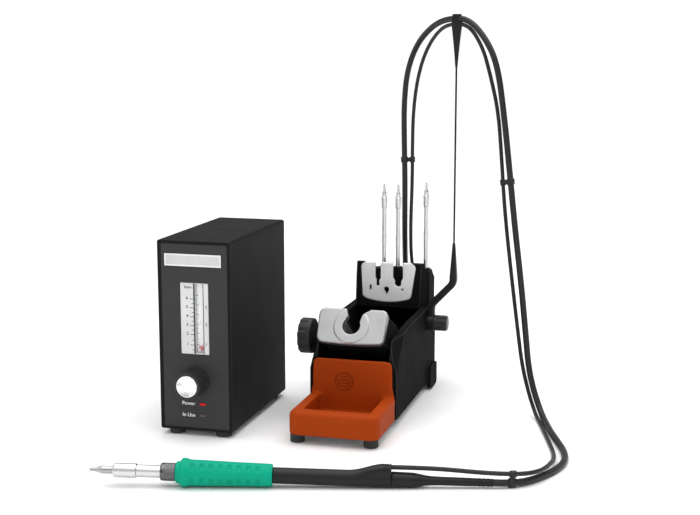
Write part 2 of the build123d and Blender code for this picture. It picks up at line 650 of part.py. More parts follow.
def mouth(plane):
    """The opening from the tool hole to the top edge: hooked on the left, lobed on the right."""
    top = HOLDER_H / 2
    with BuildSketch(plane) as outline:
        with BuildLine():
            Polyline((-TOOL_R * 0.86, 0), (-5.9, 4.6), (-4.0, 8.4), (-6.4, top + 0.2), (-8.5, top + 4),
                     (18, top + 4), (13.2, top - 1.2), (10, 12), (7.8, 9), (6.7, 4.6),
                     (TOOL_R * 0.86, 0), close=True)
        make_face()
        Circle(TOOL_R)
    return outline.sketch


with BuildPart() as holder_plate:
    with BuildSketch(holder_face.offset(-HOLDER_T)):
        with BuildLine() as plate_line:
            top_left = (-HOLDER_W / 2, HOLDER_H / 2)
            top_right = (HOLDER_W / 2, HOLDER_H / 2)
            low_right = (HOLDER_W / 2 - 1, 1.6 - HOLDER_H / 2)
            low_left = (1 - HOLDER_W / 2, 1.6 - HOLDER_H / 2)
            Line(low_left, top_left)
            Line(top_left, top_right)
            Line(top_right, low_right)
            ThreePointArc(low_right, (0, -HOLDER_H / 2), low_left)
        make_face()
        fillet(plate_line.vertices(), 5.0)
    extrude(amount=HOLDER_T)
    chamfer(holder_plate.faces().sort_by(Axis(holder_face.origin, normal))[-1].edges(), 0.8)
    with BuildSketch(holder_face):
        Circle(RING_R - 0.4)
    extrude(amount=RING_H)
    chamfer(holder_plate.faces().sort_by(Axis(holder_face.origin, normal))[-1].edges(), 0.5)
    add(extrude(mouth(holder_face.offset(-HOLDER_T - 1)), amount=HOLDER_T + 3, dir=normal,
                mode=Mode.PRIVATE), mode=Mode.SUBTRACT)
holder_plate.part.label = "holder_plate"
export_step(holder_plate.part, "parts/holder_plate.step")

# The carrier is a block behind the plate, with a trough for the tool and a pivot at each side.
CARRIER_L = 44.0
carrier_left, carrier_right = bay_left + 0.8 - HOLDER_X, bay_right - 0.8 - HOLDER_X
SLEEVE_R = TOOL_R + 1.2
with BuildPart() as holder_carrier:
    with BuildSketch(holder_face.offset(-HOLDER_T)):
        with BuildLine():
            Polyline((-25, 12), (-25, -11), (-20, -13), (21, -13), (26.5, -11), (26.5, 12), close=True)
        make_face()
    with BuildSketch(holder_face.offset(-20)):
        with BuildLine():
            Polyline((carrier_left, 10), (carrier_left, -12), (-20, -14), (25, -14),
                     (carrier_right, -12), (carrier_right, 10), close=True)
        make_face()
    loft()
    with BuildSketch(holder_face.offset(-CARRIER_L)):
        with BuildLine():
            Polyline((carrier_left, 9), (carrier_left, -10), (-18, -14), (23, -14),
                     (carrier_right, -10), (carrier_right, 9), close=True)
        make_face()
    extrude(amount=CARRIER_L - 20)
    with BuildSketch(holder_face.offset(-CARRIER_L)):
        Circle(SLEEVE_R)
        with Locations((0, 10)):
            Rectangle(2 * SLEEVE_R - 2.2, 20)
    extrude(amount=CARRIER_L, mode=Mode.SUBTRACT)
    with BuildSketch(side(bay_left)):
        with Locations((PIVOT_Y, PIVOT_Z)):
            Circle(STUD_R + RUN)
    extrude(amount=10.0, mode=Mode.SUBTRACT)
    with BuildSketch(side(bay_right - 8.0)):
        with Locations((PIVOT_Y, PIVOT_Z)):
            Circle(PIN_R + RUN)
    extrude(amount=8.0, mode=Mode.SUBTRACT)
holder_carrier.part.label = "holder_carrier"
export_step(holder_carrier.part, "parts/holder_carrier.step")

# A steel liner in the trough takes the hot end of the tool.
with BuildPart() as holder_sleeve:
    with BuildSketch(holder_face.offset(-CARRIER_L)):
        Circle(SLEEVE_R - 0.02)
        Circle(TOOL_R + 0.2, mode=Mode.SUBTRACT)
        with Locations((0, 10)):
            Rectangle(2 * SLEEVE_R - 4.4, 20, mode=Mode.SUBTRACT)
    extrude(amount=CARRIER_L - HOLDER_T - 0.1)
holder_sleeve.part.label = "holder_sleeve"
export_step(holder_sleeve.part, "parts/holder_sleeve.step")

# The clamp knob on the left, its stud through the boss, and the plain pin on the right.
clamp_x = stand_left - 5.2 - GAP
SCALLOPS = 12
with BuildPart() as holder_knob:
    with BuildSketch(side(clamp_x - CLAMP_L)):
        with Locations((PIVOT_Y, PIVOT_Z)):
            Circle(CLAMP_R)
    extrude(amount=CLAMP_L)
    with BuildSketch(side(clamp_x - CLAMP_L)):
        with Locations((PIVOT_Y, PIVOT_Z)):
            with PolarLocations(CLAMP_R + 1.9, SCALLOPS):
                Circle(2.8)
    extrude(amount=CLAMP_L - 3.0, mode=Mode.SUBTRACT)
    fillet(holder_knob.faces().sort_by(Axis.X)[0].edges(), 0.8)
    fillet(holder_knob.faces().sort_by(Axis.X)[-1].edges(), 1.0)
    with BuildSketch(side(clamp_x - 8.0)):
        with Locations((PIVOT_Y, PIVOT_Z)):
            Circle(STUD_R)
    extrude(amount=8.0, mode=Mode.SUBTRACT)
holder_knob.part.label = "holder_knob"
export_step(holder_knob.part, "parts/holder_knob.step")

with BuildPart() as holder_stud:
    with BuildSketch(side(clamp_x - 8.0)):
        with Locations((PIVOT_Y, PIVOT_Z)):
            Circle(STUD_R)
    extrude(amount=bay_left + 8.5 - clamp_x + 8.0)
    chamfer(holder_stud.faces().sort_by(Axis.X)[-1].edges(), 0.6)
holder_stud.part.label = "holder_stud"
export_step(holder_stud.part, "parts/holder_stud.step")

with BuildPart() as holder_pin:
    with BuildSketch(side(bay_right - 6.5)):
        with Locations((PIVOT_Y, PIVOT_Z)):
            Circle(PIN_R)
    extrude(amount=11.0)
holder_pin.part.label = "holder_pin"
export_step(holder_pin.part, "parts/holder_pin.step")

# ---------------------------------------------------------------- cartridge extractor and rack
BLOCK_BACK = 141.5
PLATE_DEPTH = 3.0


def extractor_outline(grow):
    """The extractor plate's outline without its slots, grown by a clearance."""
    with BuildSketch(front(BLOCK_Y)) as outline:
        with BuildLine() as rim:
            Polyline((-19.4, 80.5), (-21.0, BLOCK_Z1), (28.8, BLOCK_Z1), (24.0, 80.5))
            ThreePointArc((24.0, 80.5), (2.3, 76.7), (-19.4, 80.5))
        make_face()
        fillet(rim.vertices().group_by(Axis.Z)[0], 4.5)
        if grow:
            offset(amount=grow)
    return outline.sketch


with BuildPart() as extractor_block:
    with BuildSketch(front(BLOCK_Y)):
        with BuildLine():
            Polyline((-25.4, BLOCK_Z0), (31.5, BLOCK_Z0), (33.2, BLOCK_Z1), (-24, BLOCK_Z1), close=True)
        make_face()
    with BuildSketch(front(BLOCK_BACK)):
        with BuildLine():
            Polyline((-28.5, BLOCK_Z0), (35.4, BLOCK_Z0), (36.2, BLOCK_Z1), (-27.5, BLOCK_Z1), close=True)
        make_face()
    loft()
    with BuildSketch(side(stand_left)):
        with BuildLine():
            Polyline((135.2, BLOCK_Z1 + 1), (141.6, 97), (150, 97), (150, BLOCK_Z1 + 1), close=True)
        make_face()
    extrude(amount=STAND_W, mode=Mode.SUBTRACT)
    for rest_x in (stand_left, bay_right - 0.2):
        with BuildSketch(level(BLOCK_Z0 - 1)):
            with Locations((rest_x + (WALL + 0.2) / 2, 136)):
                Rectangle(WALL + 0.2, 14)
        extrude(amount=BODY_TOP - BLOCK_Z0 + 1, mode=Mode.SUBTRACT)
    add(extrude(extractor_outline(0.1), amount=-PLATE_DEPTH, mode=Mode.PRIVATE), mode=Mode.SUBTRACT)
    with BuildSketch(front(BLOCK_Y + 1)):
        with Locations((-5.6, 101), (12.2, 101)):
            Rectangle(10.5, 24)
        with Locations((2.1, 86.7), (16.3, 88.2), (-12.2, 89.2)):
            Circle(2.0)
    extrude(amount=-(BLOCK_BACK - BLOCK_Y), mode=Mode.SUBTRACT)
extractor_block.part.label = "extractor_block"
export_step(extractor_block.part, "parts/extractor_block.step")

with BuildPart() as extractor_plate:
    extrude(extractor_outline(0), amount=-PLATE_DEPTH)
    chamfer(extractor_plate.faces().sort_by(Axis.Y)[0].edges(), 0.5)
    with BuildSketch(front(BLOCK_Y - 1)):
        with BuildLine():
            Polyline((-8.3, 113), (-8.3, 97.5), (-7.3, 96), (-7.3, 90.5), (-4.3, 90.5), (-4.3, 96),
                     (-3.0, 97.5), (-3.0, 113), close=True)
        make_face()
        with BuildLine():
            Polyline((7.6, 113), (7.6, 98.5), (9.1, 95.5), (9.1, 93.6), (15.3, 93.6), (15.3, 95.5),
                     (16.9, 98.5), (16.9, 113), close=True)
        make_face()
        with Locations((12.2, 93.6)):
            Circle(3.1)
        with Locations((2.1, 87.9)):
            Circle(2.4)
        with BuildLine():
            Polyline((-0.2, 87.2), (2.1, 82.7), (4.4, 87.2), close=True)
        make_face()
        with Locations((16.3, 88.2)):
            Circle(1.0)
        with Locations((-12.2, 89.2)):
            SlotOverall(5.0, 2.0, rotation=90)
    extrude(amount=-(PLATE_DEPTH + 2), mode=Mode.SUBTRACT)
extractor_plate.part.label = "extractor_plate"
export_step(extractor_plate.part, "parts/extractor_plate.step")

with BuildPart() as cartridge_rack:
    with BuildSketch(side(stand_left + 6.5)):
        with BuildLine() as rack_line:
            Polyline((BLOCK_BACK + 0.2, BODY_TOP), (BLOCK_BACK + 0.2, 98), (142.6, RACK_TOP - 1.5),
                     (151.5, RACK_TOP - 1.5), (161, 97), (STAND_BACK, 95), (STAND_BACK, BODY_TOP), close=True)
        make_face()
    extrude(amount=STAND_W - 8.0)
    fillet(cartridge_rack.edges().filter_by(Axis.X).group_by(Axis.Z)[-1], 1.0)
    fillet(cartridge_rack.edges().filter_by(Axis.Z), 2.0)
    with BuildSketch(level(RACK_TOP - 2.5)):
        for well_x in WELL_X:
            with Locations((well_x, RACK_Y)):
                Circle(3.9)
    extrude(amount=2.5)
    for well_x, well_floor in zip(WELL_X, WELL_FLOOR):
        with BuildSketch(level(well_floor)):
            with Locations((well_x, RACK_Y)):
                Circle(CARTRIDGE_R + RUN + 0.01)
        extrude(amount=RACK_TOP - well_floor, mode=Mode.SUBTRACT)
cartridge_rack.part.label = "cartridge_rack"
export_step(cartridge_rack.part, "parts/cartridge_rack.step")

# Spare cartridges: a steel tube, a heating sleeve and a conical tip.
TUBE_TOP, SLEEVE_TOP, TIP_TOP = 73.4, 82.5, 94.5     # heights above the cartridge's lower end


def cartridge(well_x, floor_z):
    """One spare cartridge standing in its well."""
    with BuildPart() as spare:
        with BuildSketch(Plane.XZ.offset(-RACK_Y)):
            with BuildLine():
                x, z = well_x, floor_z + 0.1
                Polyline((x, z), (x + 1.7, z), (x + CARTRIDGE_R, z + 0.5), (x + CARTRIDGE_R, z + 36),
                         (x + 2.35, z + 44), (x + 2.35, z + 47), (x + CARTRIDGE_R, z + 55),
                         (x + CARTRIDGE_R, z + TUBE_TOP), (x + 2.6, z + TUBE_TOP + 0.2),
                         (x + 2.8, z + TUBE_TOP + 1.2), (x + 2.8, z + SLEEVE_TOP), (x + 2.2, z + SLEEVE_TOP + 1),
                         (x + 2.1, z + SLEEVE_TOP + 3.8), (x + 1.5, z + SLEEVE_TOP + 5.5),
                         (x + 0.9, z + TIP_TOP - 1.2), (x + 0.5, z + TIP_TOP), (x, z + TIP_TOP), close=True)
            make_face()
        revolve(axis=Axis((well_x, RACK_Y, 0), (0, 0, 1)))
    return spare.part


for number, well in enumerate((0, 1, 3), start=1):
    spare_cartridge = cartridge(WELL_X[well], WELL_FLOOR[well])
    spare_cartridge.label = f"spare_cartridge_{number}"
    export_step(spare_cartridge, f"parts/spare_cartridge_{number}.step")

# ---------------------------------------------------------------- mast
ARM_MID_X = (ARM_X0 + ARM_X1) / 2
BEND_Z0, BEND_Z1 = 77.0, 97.0
with BuildPart() as mast_arm:
    with BuildLine() as arm_line:
        FilletPolyline((ARM_MID_X, MAST_Y, MAST_Z), (ARM_MID_X, MAST_Y, BEND_Z0),
                       (MAST_X, MAST_Y, BEND_Z1), (MAST_X, MAST_Y, BEND_Z1 + 6), radius=9.0)
    with BuildSketch(Plane.XY.offset(MAST_Z)):
        with Locations((ARM_MID_X, MAST_Y)):
            RectangleRounded(ARM_X1 - ARM_X0, 8.0, 1.8)
    sweep(path=arm_line.line)
    with BuildSketch(level(BEND_Z1 + 6)):
        with Locations((MAST_X, MAST_Y)):
            RectangleRounded(ARM_X1 - ARM_X0, 8.0, 1.8)
    with BuildSketch(level(ARM_TOP)):
        with Locations((MAST_X, MAST_Y)):
            RectangleRounded(2.4, 2.4, 0.8)
    loft()
    with BuildSketch(side(ARM_X0)):
        with Locations((MAST_Y, MAST_Z)):
            Circle(7.0)
    extrude(amount=ARM_X1 - ARM_X0)
    with BuildSketch(side(ARM_X0)):
        with Locations((MAST_Y, MAST_Z)):
            Circle(MAST_STUD_R + RUN)
    extrude(amount=ARM_X1 - ARM_X0, mode=Mode.SUBTRACT)
mast_arm.part.label = "mast_arm"
export_step(mast_arm.part, "parts/mast_arm.step")

with BuildPart() as mast_wire:
    with BuildSketch(level(ARM_TOP)):
        with Locations((MAST_X, MAST_Y)):
            Circle(WIRE_R)
    extrude(amount=CLIP_Z0 - ARM_TOP)
mast_wire.part.label = "mast_wire"
export_step(mast_wire.part, "parts/mast_wire.step")

# ---------------------------------------------------------------- routes of the cable and the hose
# Both go up from their plugs behind the stand, over the mast's clip, down to the floor on the
# right, and along the floor to the handpiece. Each is two tubes that meet end to end on the floor.
CABLE_TOP_Z, HOSE_TOP_Z = 320.4, 315.9
cable_upper_route = [
    (0.0, 188.0, 36.0), (0.0, 200.0, 37.2), (0.2, 211.5, 48.0), (1.0, 212.5, 63.0),
    (3.5, 201.0, 86.0), (6.0, 186.5, 112.0), (7.8, 176.4, 142.0), (7.9, 175.9, 178.0),
    (6.8, 176.6, 214.0), (6.2, 177.1, 247.0), (9.4, 174.3, 276.0), (20.0, 165.0, 299.5),
    (36.5, 150.5, 314.6), (52.2, 136.6, CABLE_TOP_Z), (72.7, 120.7, CABLE_TOP_Z),
    (90.1, 108.9, 303.0), (100.7, 101.6, 282.0), (107.3, 97.1, 243.0), (112.8, 93.4, 202.0),
    (118.8, 89.3, 155.0), (125.8, 84.5, 108.0), (131.0, 81.0, 66.0), (134.0, 79.0, 40.0),
    (139.1, 75.8, 21.4), (144.3, 71.9, 8.95), (149.0, 62.9, 2.55), (151.6, 53.8, 2.55),
]
cable_floor_route = [
    (151.6, 53.8, 2.55), (154.5, 43.6, 2.55), (160.0, 24.4, 2.55), (167.3, 3.0, 2.55),
    (174.0, -18.0, 2.55), (177.0, -40.0, 2.55), (172.0, -62.0, 2.55), (163.0, -80.0, 2.7),
    (150.1, -98.45, 3.35), (134.33, -102.4, 3.83),
]
hose_upper_route = [
    (20.0, 184.0, 36.0), (20.0, 192.0, 36.8), (20.0, 200.0, 44.0), (19.6, 201.5, 56.0),
    (16.6, 193.0, 78.0), (12.9, 182.0, 104.0), (13.2, 176.3, 138.0), (14.6, 175.9, 178.0),
    (14.3, 176.6, 214.0), (15.0, 175.9, 241.0), (19.0, 172.3, 268.0), (27.0, 163.8, 290.5),
    (38.6, 151.6, 307.0), (52.2, 136.6, HOSE_TOP_Z), (72.7, 120.7, HOSE_TOP_Z),
    (86.5, 111.1, 297.5), (94.2, 105.2, 275.0), (102.2, 100.2, 245.0), (105.8, 98.2, 208.0),
    (109.6, 95.7, 165.0), (115.8, 91.5, 120.0), (122.8, 86.7, 74.0), (128.2, 83.0, 40.0),
    (135.2, 77.1, 17.7), (139.6, 73.7, 7.0), (143.5, 66.2, 1.65), (145.65, 58.5, 1.65),
]
hose_floor_route = [
    (145.65, 58.5, 1.65), (149.0, 46.5, 1.65), (154.4, 26.0, 1.65), (160.5, 3.0, 1.65),
    (166.3, -20.0, 1.65), (168.6, -41.0, 3.4), (168.4, -60.0, 6.9), (166.2, -77.0, 8.1),
    (159.0, -91.5, 9.3), (147.0, -99.2, 10.0), (125.7, -104.6, 11.0), (103.4, -110.2, 13.2),
    (82.1, -115.6, 14.25), (66.9, -119.46, 14.5),
]


def cord_tube(name, route, radius):
    """A plain tube along a route of straight runs joined by arcs."""
    with BuildPart() as tube:
        with BuildLine() as tube_line:
            FilletPolyline(*route, radius=cord_radii(route))
        with BuildSketch(tube_line.line ^ 0):
            Circle(radius)
        sweep(path=tube_line.line)
    print_cord(name, route, tube_line.wires()[0].length, tube.part, radius)
    tube.part.label = name
    return tube.part


cable_upper = cord_tube("cable_upper", cable_upper_route, CABLE_R)
export_step(cable_upper, "parts/cable_upper.step")
cable_floor = cord_tube("cable_floor", cable_floor_route, CABLE_R)
export_step(cable_floor, "parts/cable_floor.step")
hose_upper = cord_tube("hose_upper", hose_upper_route, HOSE_R)
export_step(hose_upper, "parts/hose_upper.step")
hose_floor = cord_tube("hose_floor", hose_floor_route, HOSE_R)
export_step(hose_floor, "parts/hose_floor.step")

# The clip at the top of the mast holds both cords side by side, one above the other. Its local x
# runs along the cords and its local y across them.
crown_left, crown_right = Vector(52.2, 136.6, CABLE_TOP_Z), Vector(72.7, 120.7, CABLE_TOP_Z)
along = (crown_right - crown_left).normalized()
crown = (crown_left + crown_right) * 0.5
CLIP_L, CLIP_W = 7.0, 7.8
clip_foot = Plane(origin=(MAST_X, MAST_Y, CLIP_Z0), x_dir=along, z_dir=(0, 0, 1))
with BuildPart() as mast_clip:
    with BuildSketch(clip_foot):
        RectangleRounded(2.4, 2.4, 0.8)
    with BuildSketch(Plane(origin=(crown.X, crown.Y, 311.0), x_dir=along, z_dir=(0, 0, 1))):
        RectangleRounded(CLIP_L, CLIP_W, 1.2)
    loft()
    with BuildSketch(Plane(origin=(crown.X, crown.Y, 311.0), x_dir=along, z_dir=(0, 0, 1))):
        RectangleRounded(CLIP_L, CLIP_W, 1.2)
    extrude(amount=CLIP_TOP - 311.0)
    fillet(mast_clip.faces().sort_by(Axis.Z)[-1].edges(), 1.1)
    with BuildSketch(Plane(origin=(crown.X, crown.Y, 0), x_dir=(-along.Y, along.X, 0), z_dir=along)):
        with Locations((0, CABLE_TOP_Z)):
            Circle(CABLE_R + CLIP_FIT)
        with Locations((0, HOSE_TOP_Z)):
            Circle(HOSE_R + CLIP_FIT)
    extrude(amount=CLIP_L, both=True, mode=Mode.SUBTRACT)
mast_clip.part.label = "mast_clip"
export_step(mast_clip.part, "parts/mast_clip.step")

MAST_KNOB_X0, MAST_KNOB_L, MAST_KNOB_R = ARM_X1 + GAP, 11.3, 6.75
with BuildPart() as mast_knob:
    with BuildSketch(side(MAST_KNOB_X0)):
        with Locations((MAST_Y, MAST_Z)):
            Circle(MAST_KNOB_R)
    extrude(amount=MAST_KNOB_L)
    fillet(mast_knob.faces().sort_by(Axis.X)[-1].edges(), 2.0)
    with BuildSketch(side(MAST_KNOB_X0 + 1.5)):
        with Locations((MAST_Y, MAST_Z)):
            with PolarLocations(MAST_KNOB_R + 0.9, 8):
                Circle(1.5)
    extrude(amount=MAST_KNOB_L, mode=Mode.SUBTRACT)
    with BuildSketch(side(MAST_KNOB_X0)):
        with Locations((MAST_Y, MAST_Z)):
            Circle(MAST_STUD_R)
    extrude(amount=6.0, mode=Mode.SUBTRACT)
mast_knob.part.label = "mast_knob"
export_step(mast_knob.part, "parts/mast_knob.step")

with BuildPart() as mast_stud:
    with BuildSketch(side(bay_right)):
        with Locations((MAST_Y, MAST_Z)):
            Circle(MAST_STUD_R)
    extrude(amount=MAST_KNOB_X0 + 6.0 - bay_right)
    chamfer(mast_stud.faces().sort_by(Axis.X)[0].edges(), 0.5)
mast_stud.part.label = "mast_stud"
export_step(mast_stud.part, "parts/mast_stud.step")

# ---------------------------------------------------------------- sockets and plugs behind the stand
SOCKET_OUT = 170.93
with BuildPart() as cable_socket:
    with BuildSketch(front(SOCKET_OUT)):
        with Locations((CABLE_X, PLUG_Z)):
            Circle(9.5)
    extrude(amount=SOCKET_OUT - STAND_BACK)
    fillet(cable_socket.faces().sort_by(Axis.Y)[-1].edges(), 1.0)
    with BuildSketch(front(STAND_BACK)):
        with Locations((CABLE_X, PLUG_Z)):
            Circle(CABLE_HOLE_R - 0.1)
    extrude(amount=10.0)
    with BuildSketch(front(SOCKET_OUT)):
        with Locations((CABLE_X, PLUG_Z)):
            Circle(5.6)
    extrude(amount=9.0, mode=Mode.SUBTRACT)
cable_socket.part.label = "cable_socket"
export_step(cable_socket.part, "parts/cable_socket.step")

with BuildPart() as hose_socket:
    with BuildSketch(front(SOCKET_OUT - 1.5)):
        with Locations((HOSE_X, PLUG_Z)):
            RegularPolygon(6.5, 6, major_radius=False)
    extrude(amount=SOCKET_OUT - 1.5 - STAND_BACK)
    with BuildSketch(front(STAND_BACK)):
        with Locations((HOSE_X, PLUG_Z)):
            Circle(HOSE_HOLE_R - 0.1)
    extrude(amount=10.0)
    with BuildSketch(front(SOCKET_OUT - 1.5)):
        with Locations((HOSE_X, PLUG_Z)):
            Circle(3.2)
    extrude(amount=8.0, mode=Mode.SUBTRACT)
hose_socket.part.label = "hose_socket"
export_step(hose_socket.part, "parts/hose_socket.step")


def plug(x, nose_y, nose_r, body_y0, body_y1, body_r, end_y, end_r):
    """A straight plug: a nose in its socket, a body and a tapered strain relief."""
    with BuildPart() as shape:
        with BuildSketch(Plane.YZ.offset(x)):
            with BuildLine():
                Polyline((nose_y, PLUG_Z), (nose_y, PLUG_Z + nose_r), (body_y0, PLUG_Z + nose_r),
                         (body_y0, PLUG_Z + body_r), (body_y1, PLUG_Z + body_r),
                         (body_y1 + 1, PLUG_Z + end_r + 1.0), (end_y, PLUG_Z + end_r), (end_y, PLUG_Z),
                         close=True)
            make_face()
        revolve(axis=Axis((x, 0, PLUG_Z), (0, 1, 0)))
    return shape.part


cable_plug = plug(CABLE_X, 164.0, 5.4, SOCKET_OUT, 180.0, 6.5, 188.0, 3.3)
cable_plug.label = "cable_plug"
export_step(cable_plug, "parts/cable_plug.step")
hose_plug = plug(HOSE_X, 164.5, 3.0, SOCKET_OUT - 1.5, 178.0, 4.2, 184.0, 2.2)
hose_plug.label = "hose_plug"
export_step(hose_plug, "parts/hose_plug.step")

# ---------------------------------------------------------------- handpiece
yaw, dip = radians(HAND_YAW), radians(HAND_DIP)
axis_dir = Vector(cos(yaw) * cos(dip), sin(yaw) * cos(dip), -sin(dip))
across = Vector(sin(yaw), -cos(yaw), 0)
hand_axis = Axis(TIP, axis_dir)
# local x runs back along the axis, local y is up
hand_plane = Plane(origin=TIP, x_dir=axis_dir, z_dir=across)


def turned(profile):
    """A solid of revolution about the handpiece's axis from (station, radius) pairs."""
    with BuildPart() as shape:
        with BuildSketch(hand_plane):
            with BuildLine():
                Polyline(*profile, close=True)
            make_face()
        revolve(axis=hand_axis)
    return shape.part


CARTRIDGE_END = 118.0
tip_cartridge = turned([(0, 0), (0, 0.55), (0.9, 1.2), (5.6, 1.7), (8.6, 2.75), (60, 2.75), (62, 2.2),
                        (CARTRIDGE_END, 2.2), (CARTRIDGE_END, 0)])
tip_cartridge.label = "tip_cartridge"
export_step(tip_cartridge, "parts/tip_cartridge.step")

gas_nozzle = turned([(NOZZLE_S, 3.2), (NOZZLE_S, 4.3), (NOZZLE_S + 0.8, 5.05), (NOZZLE_STEP - 0.5, 5.05),
                     (NOZZLE_STEP, 4.35), (COLLAR_S, 4.35), (COLLAR_S, 3.2)])
gas_nozzle.label = "gas_nozzle"
export_step(gas_nozzle, "parts/gas_nozzle.step")

nozzle_collar = turned([(COLLAR_S, 3.2), (COLLAR_S, 5.4), (COLLAR_S + 0.8, 6.2), (GRIP_S, 6.2),
                        (GRIP_S, 3.2)])
nozzle_collar.label = "nozzle_collar"
export_step(nozzle_collar, "parts/nozzle_collar.step")

FLANGE_S = 63.6
SLEEVE_OUT_R = 4.0
grip = turned([(GRIP_S, SLEEVE_OUT_R), (GRIP_S, 6.0), (FLANGE_S - 1.6, 8.6), (FLANGE_S, 9.85),
               (FLANGE_S + 2.4, 9.85), (FLANGE_S + 4.5, 9.0), (78, 8.9), (100, 8.2), (BODY_S - 2, 7.85),
               (BODY_S, 6.9), (BODY_S, SLEEVE_OUT_R)])
grip.label = "grip"
export_step(grip, "parts/grip.step")

contact_sleeve = turned([(GRIP_S + 4, 2.9), (GRIP_S + 4, SLEEVE_OUT_R - 0.02),
                         (BODY_S + 24, SLEEVE_OUT_R - 0.02),
                         (BODY_S + 24, 0), (CARTRIDGE_END + 4, 0), (CARTRIDGE_END + 4, 2.25),
                         (66, 2.25), (66, 2.9)])
contact_sleeve.label = "contact_sleeve"
export_step(contact_sleeve, "parts/contact_sleeve.step")

handle_body = turned([(BODY_S, SLEEVE_OUT_R), (BODY_S, BODY_R), (BELL_S - 13, BODY_R), (BELL_S - 11, BELL_R),
                      (BELL_S, BELL_R), (BELL_S, 2.6), (BODY_S + 24, 2.6), (BODY_S + 24, SLEEVE_OUT_R)])
handle_body.label = "handle_body"
export_step(handle_body, "parts/handle_body.step")

strain_relief = turned([(BELL_S, 0), (BELL_S, 4.6), (BELL_S + 4, 4.3), (NECK_S, 3.0), (RELIEF_S, 2.75),
                        (RELIEF_S, 0)])
strain_relief.label = "strain_relief"
export_step(strain_relief, "parts/strain_relief.step")

# The boss clips over the body and leads the hose in at its rear end.
with BuildPart() as hose_boss:
    with BuildSketch(hand_plane) as wedge:
        with BuildLine():
            Polyline((BOSS_S0, 4.5), (BOSS_S0 + 2, 6.3), (BOSS_S0 + 22, 9.4), (BOSS_S0 + 32, 10.6),
                     (BOSS_S1, 10.9), (BOSS_S1, 4.5), close=True)
        make_face()
    extrude(amount=3.1, both=True)
    top_edges = hose_boss.edges().filter_by(lambda edge: abs(edge.tangent_at(0.5).dot(across)) < 0.1)
    fillet(top_edges.group_by(Axis.Z)[-1], 1.6)
    add(turned([(BOSS_S0 - 5, 0), (BOSS_S0 - 5, BODY_R + 0.02), (BOSS_S1 + 5, BODY_R + 0.02),
                (BOSS_S1 + 5, 0)]),
        mode=Mode.SUBTRACT)
hose_boss.part.label = "hose_boss"
export_step(hose_boss.part, "parts/hose_boss.step")

# ---------------------------------------------------------------- clips that tie the two cords
CLIP_WALL, TIE_L = 1.1, 5.0


def cord_clip(cable_at, hose_at, direction):
    """A figure-of-eight clip around the cable and the hose, centred on the two given points."""
    span = hose_at - cable_at
    forward = direction.normalized()
    clip_plane = Plane(origin=cable_at, x_dir=span, z_dir=forward)
    with BuildPart() as clip:
        with BuildSketch(clip_plane):
            Circle(CABLE_R + CLIP_WALL)
            with Locations((span.length, 0)):
                Circle(HOSE_R + CLIP_WALL)
            with Locations((span.length / 2, 0)):
                Rectangle(span.length, 2.4)
            Circle(CABLE_R, mode=Mode.SUBTRACT)
            with Locations((span.length, 0)):
                Circle(HOSE_R, mode=Mode.SUBTRACT)
        extrude(amount=TIE_L / 2, both=True)
    return clip.part


left_clip = cord_clip(Vector(7.3, 176.3, 199), Vector(14.4, 176.3, 199), Vector(0, 0, 1))
right_clip = cord_clip(Vector(114.3, 92.3, 189), Vector(107.6, 96.9, 189), Vector(0.11, -0.075, -0.9))
hand_clip = cord_clip(Vector(141.6, -100.6, 3.6), Vector(141.6, -100.6, 10.2), axis_dir)
cord_clips = Compound(label="cord_clips", children=[left_clip, right_clip, hand_clip])
export_step(cord_clips, "parts/cord_clips.step")
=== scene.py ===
import json
from math import cos, pi, radians, sin

import bmesh
import bpy
from mathutils import Matrix, Vector


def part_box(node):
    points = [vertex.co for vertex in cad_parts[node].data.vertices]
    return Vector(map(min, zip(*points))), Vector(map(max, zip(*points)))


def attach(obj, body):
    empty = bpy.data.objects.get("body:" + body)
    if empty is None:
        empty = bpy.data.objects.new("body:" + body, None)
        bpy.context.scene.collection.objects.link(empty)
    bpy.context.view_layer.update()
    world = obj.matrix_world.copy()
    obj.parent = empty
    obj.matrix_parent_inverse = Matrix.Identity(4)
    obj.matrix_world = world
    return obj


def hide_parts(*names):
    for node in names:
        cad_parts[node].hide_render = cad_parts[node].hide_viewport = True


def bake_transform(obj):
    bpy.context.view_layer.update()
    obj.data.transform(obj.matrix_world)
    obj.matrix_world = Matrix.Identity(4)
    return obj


# A soldering iron station: a flow control box, a tool stand with its mast and spare
# cartridges, and a handpiece with its cable and gas hose. Shapes are drawn in millimetres and
# made in metres.

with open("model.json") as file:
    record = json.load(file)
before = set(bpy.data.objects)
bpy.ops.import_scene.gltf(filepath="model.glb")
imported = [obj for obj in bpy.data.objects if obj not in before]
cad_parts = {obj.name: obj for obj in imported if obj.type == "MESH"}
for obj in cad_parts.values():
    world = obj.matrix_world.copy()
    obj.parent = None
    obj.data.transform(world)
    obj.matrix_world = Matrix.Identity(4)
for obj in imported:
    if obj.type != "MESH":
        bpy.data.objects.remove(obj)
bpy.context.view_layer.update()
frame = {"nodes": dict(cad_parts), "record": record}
MM = 0.001
nodes = frame["nodes"]


def add_object(name, data):
    """A new object, linked to the scene."""
    made = bpy.data.objects.new(name, data)
    bpy.context.scene.collection.objects.link(made)
    return made


# ---------------------------------------------------------------- camera, floor and lights
camera = add_object("camera", bpy.data.cameras.new("camera"))
camera.data.lens = 65.3
camera.data.sensor_width = 36.0
camera.location = (0.2585, -0.929, 0.3001)
camera.rotation_euler = (radians(80.42), 0.0, radians(15.27))
bpy.context.scene.camera = camera
bpy.context.scene.view_settings.view_transform = "Standard"
bpy.context.scene.view_settings.exposure = 0.08


def softbox(name, place, target, size, watts):
    """A square area light that faces the target."""
    light = add_object(name, bpy.data.lights.new(name, "AREA"))
    light.data.shape = "SQUARE"
    light.data.size = size
    light.data.energy = watts
    light.location = place
    light.rotation_euler = (Vector(target) - Vector(place)).to_track_quat("-Z", "Y").to_euler()


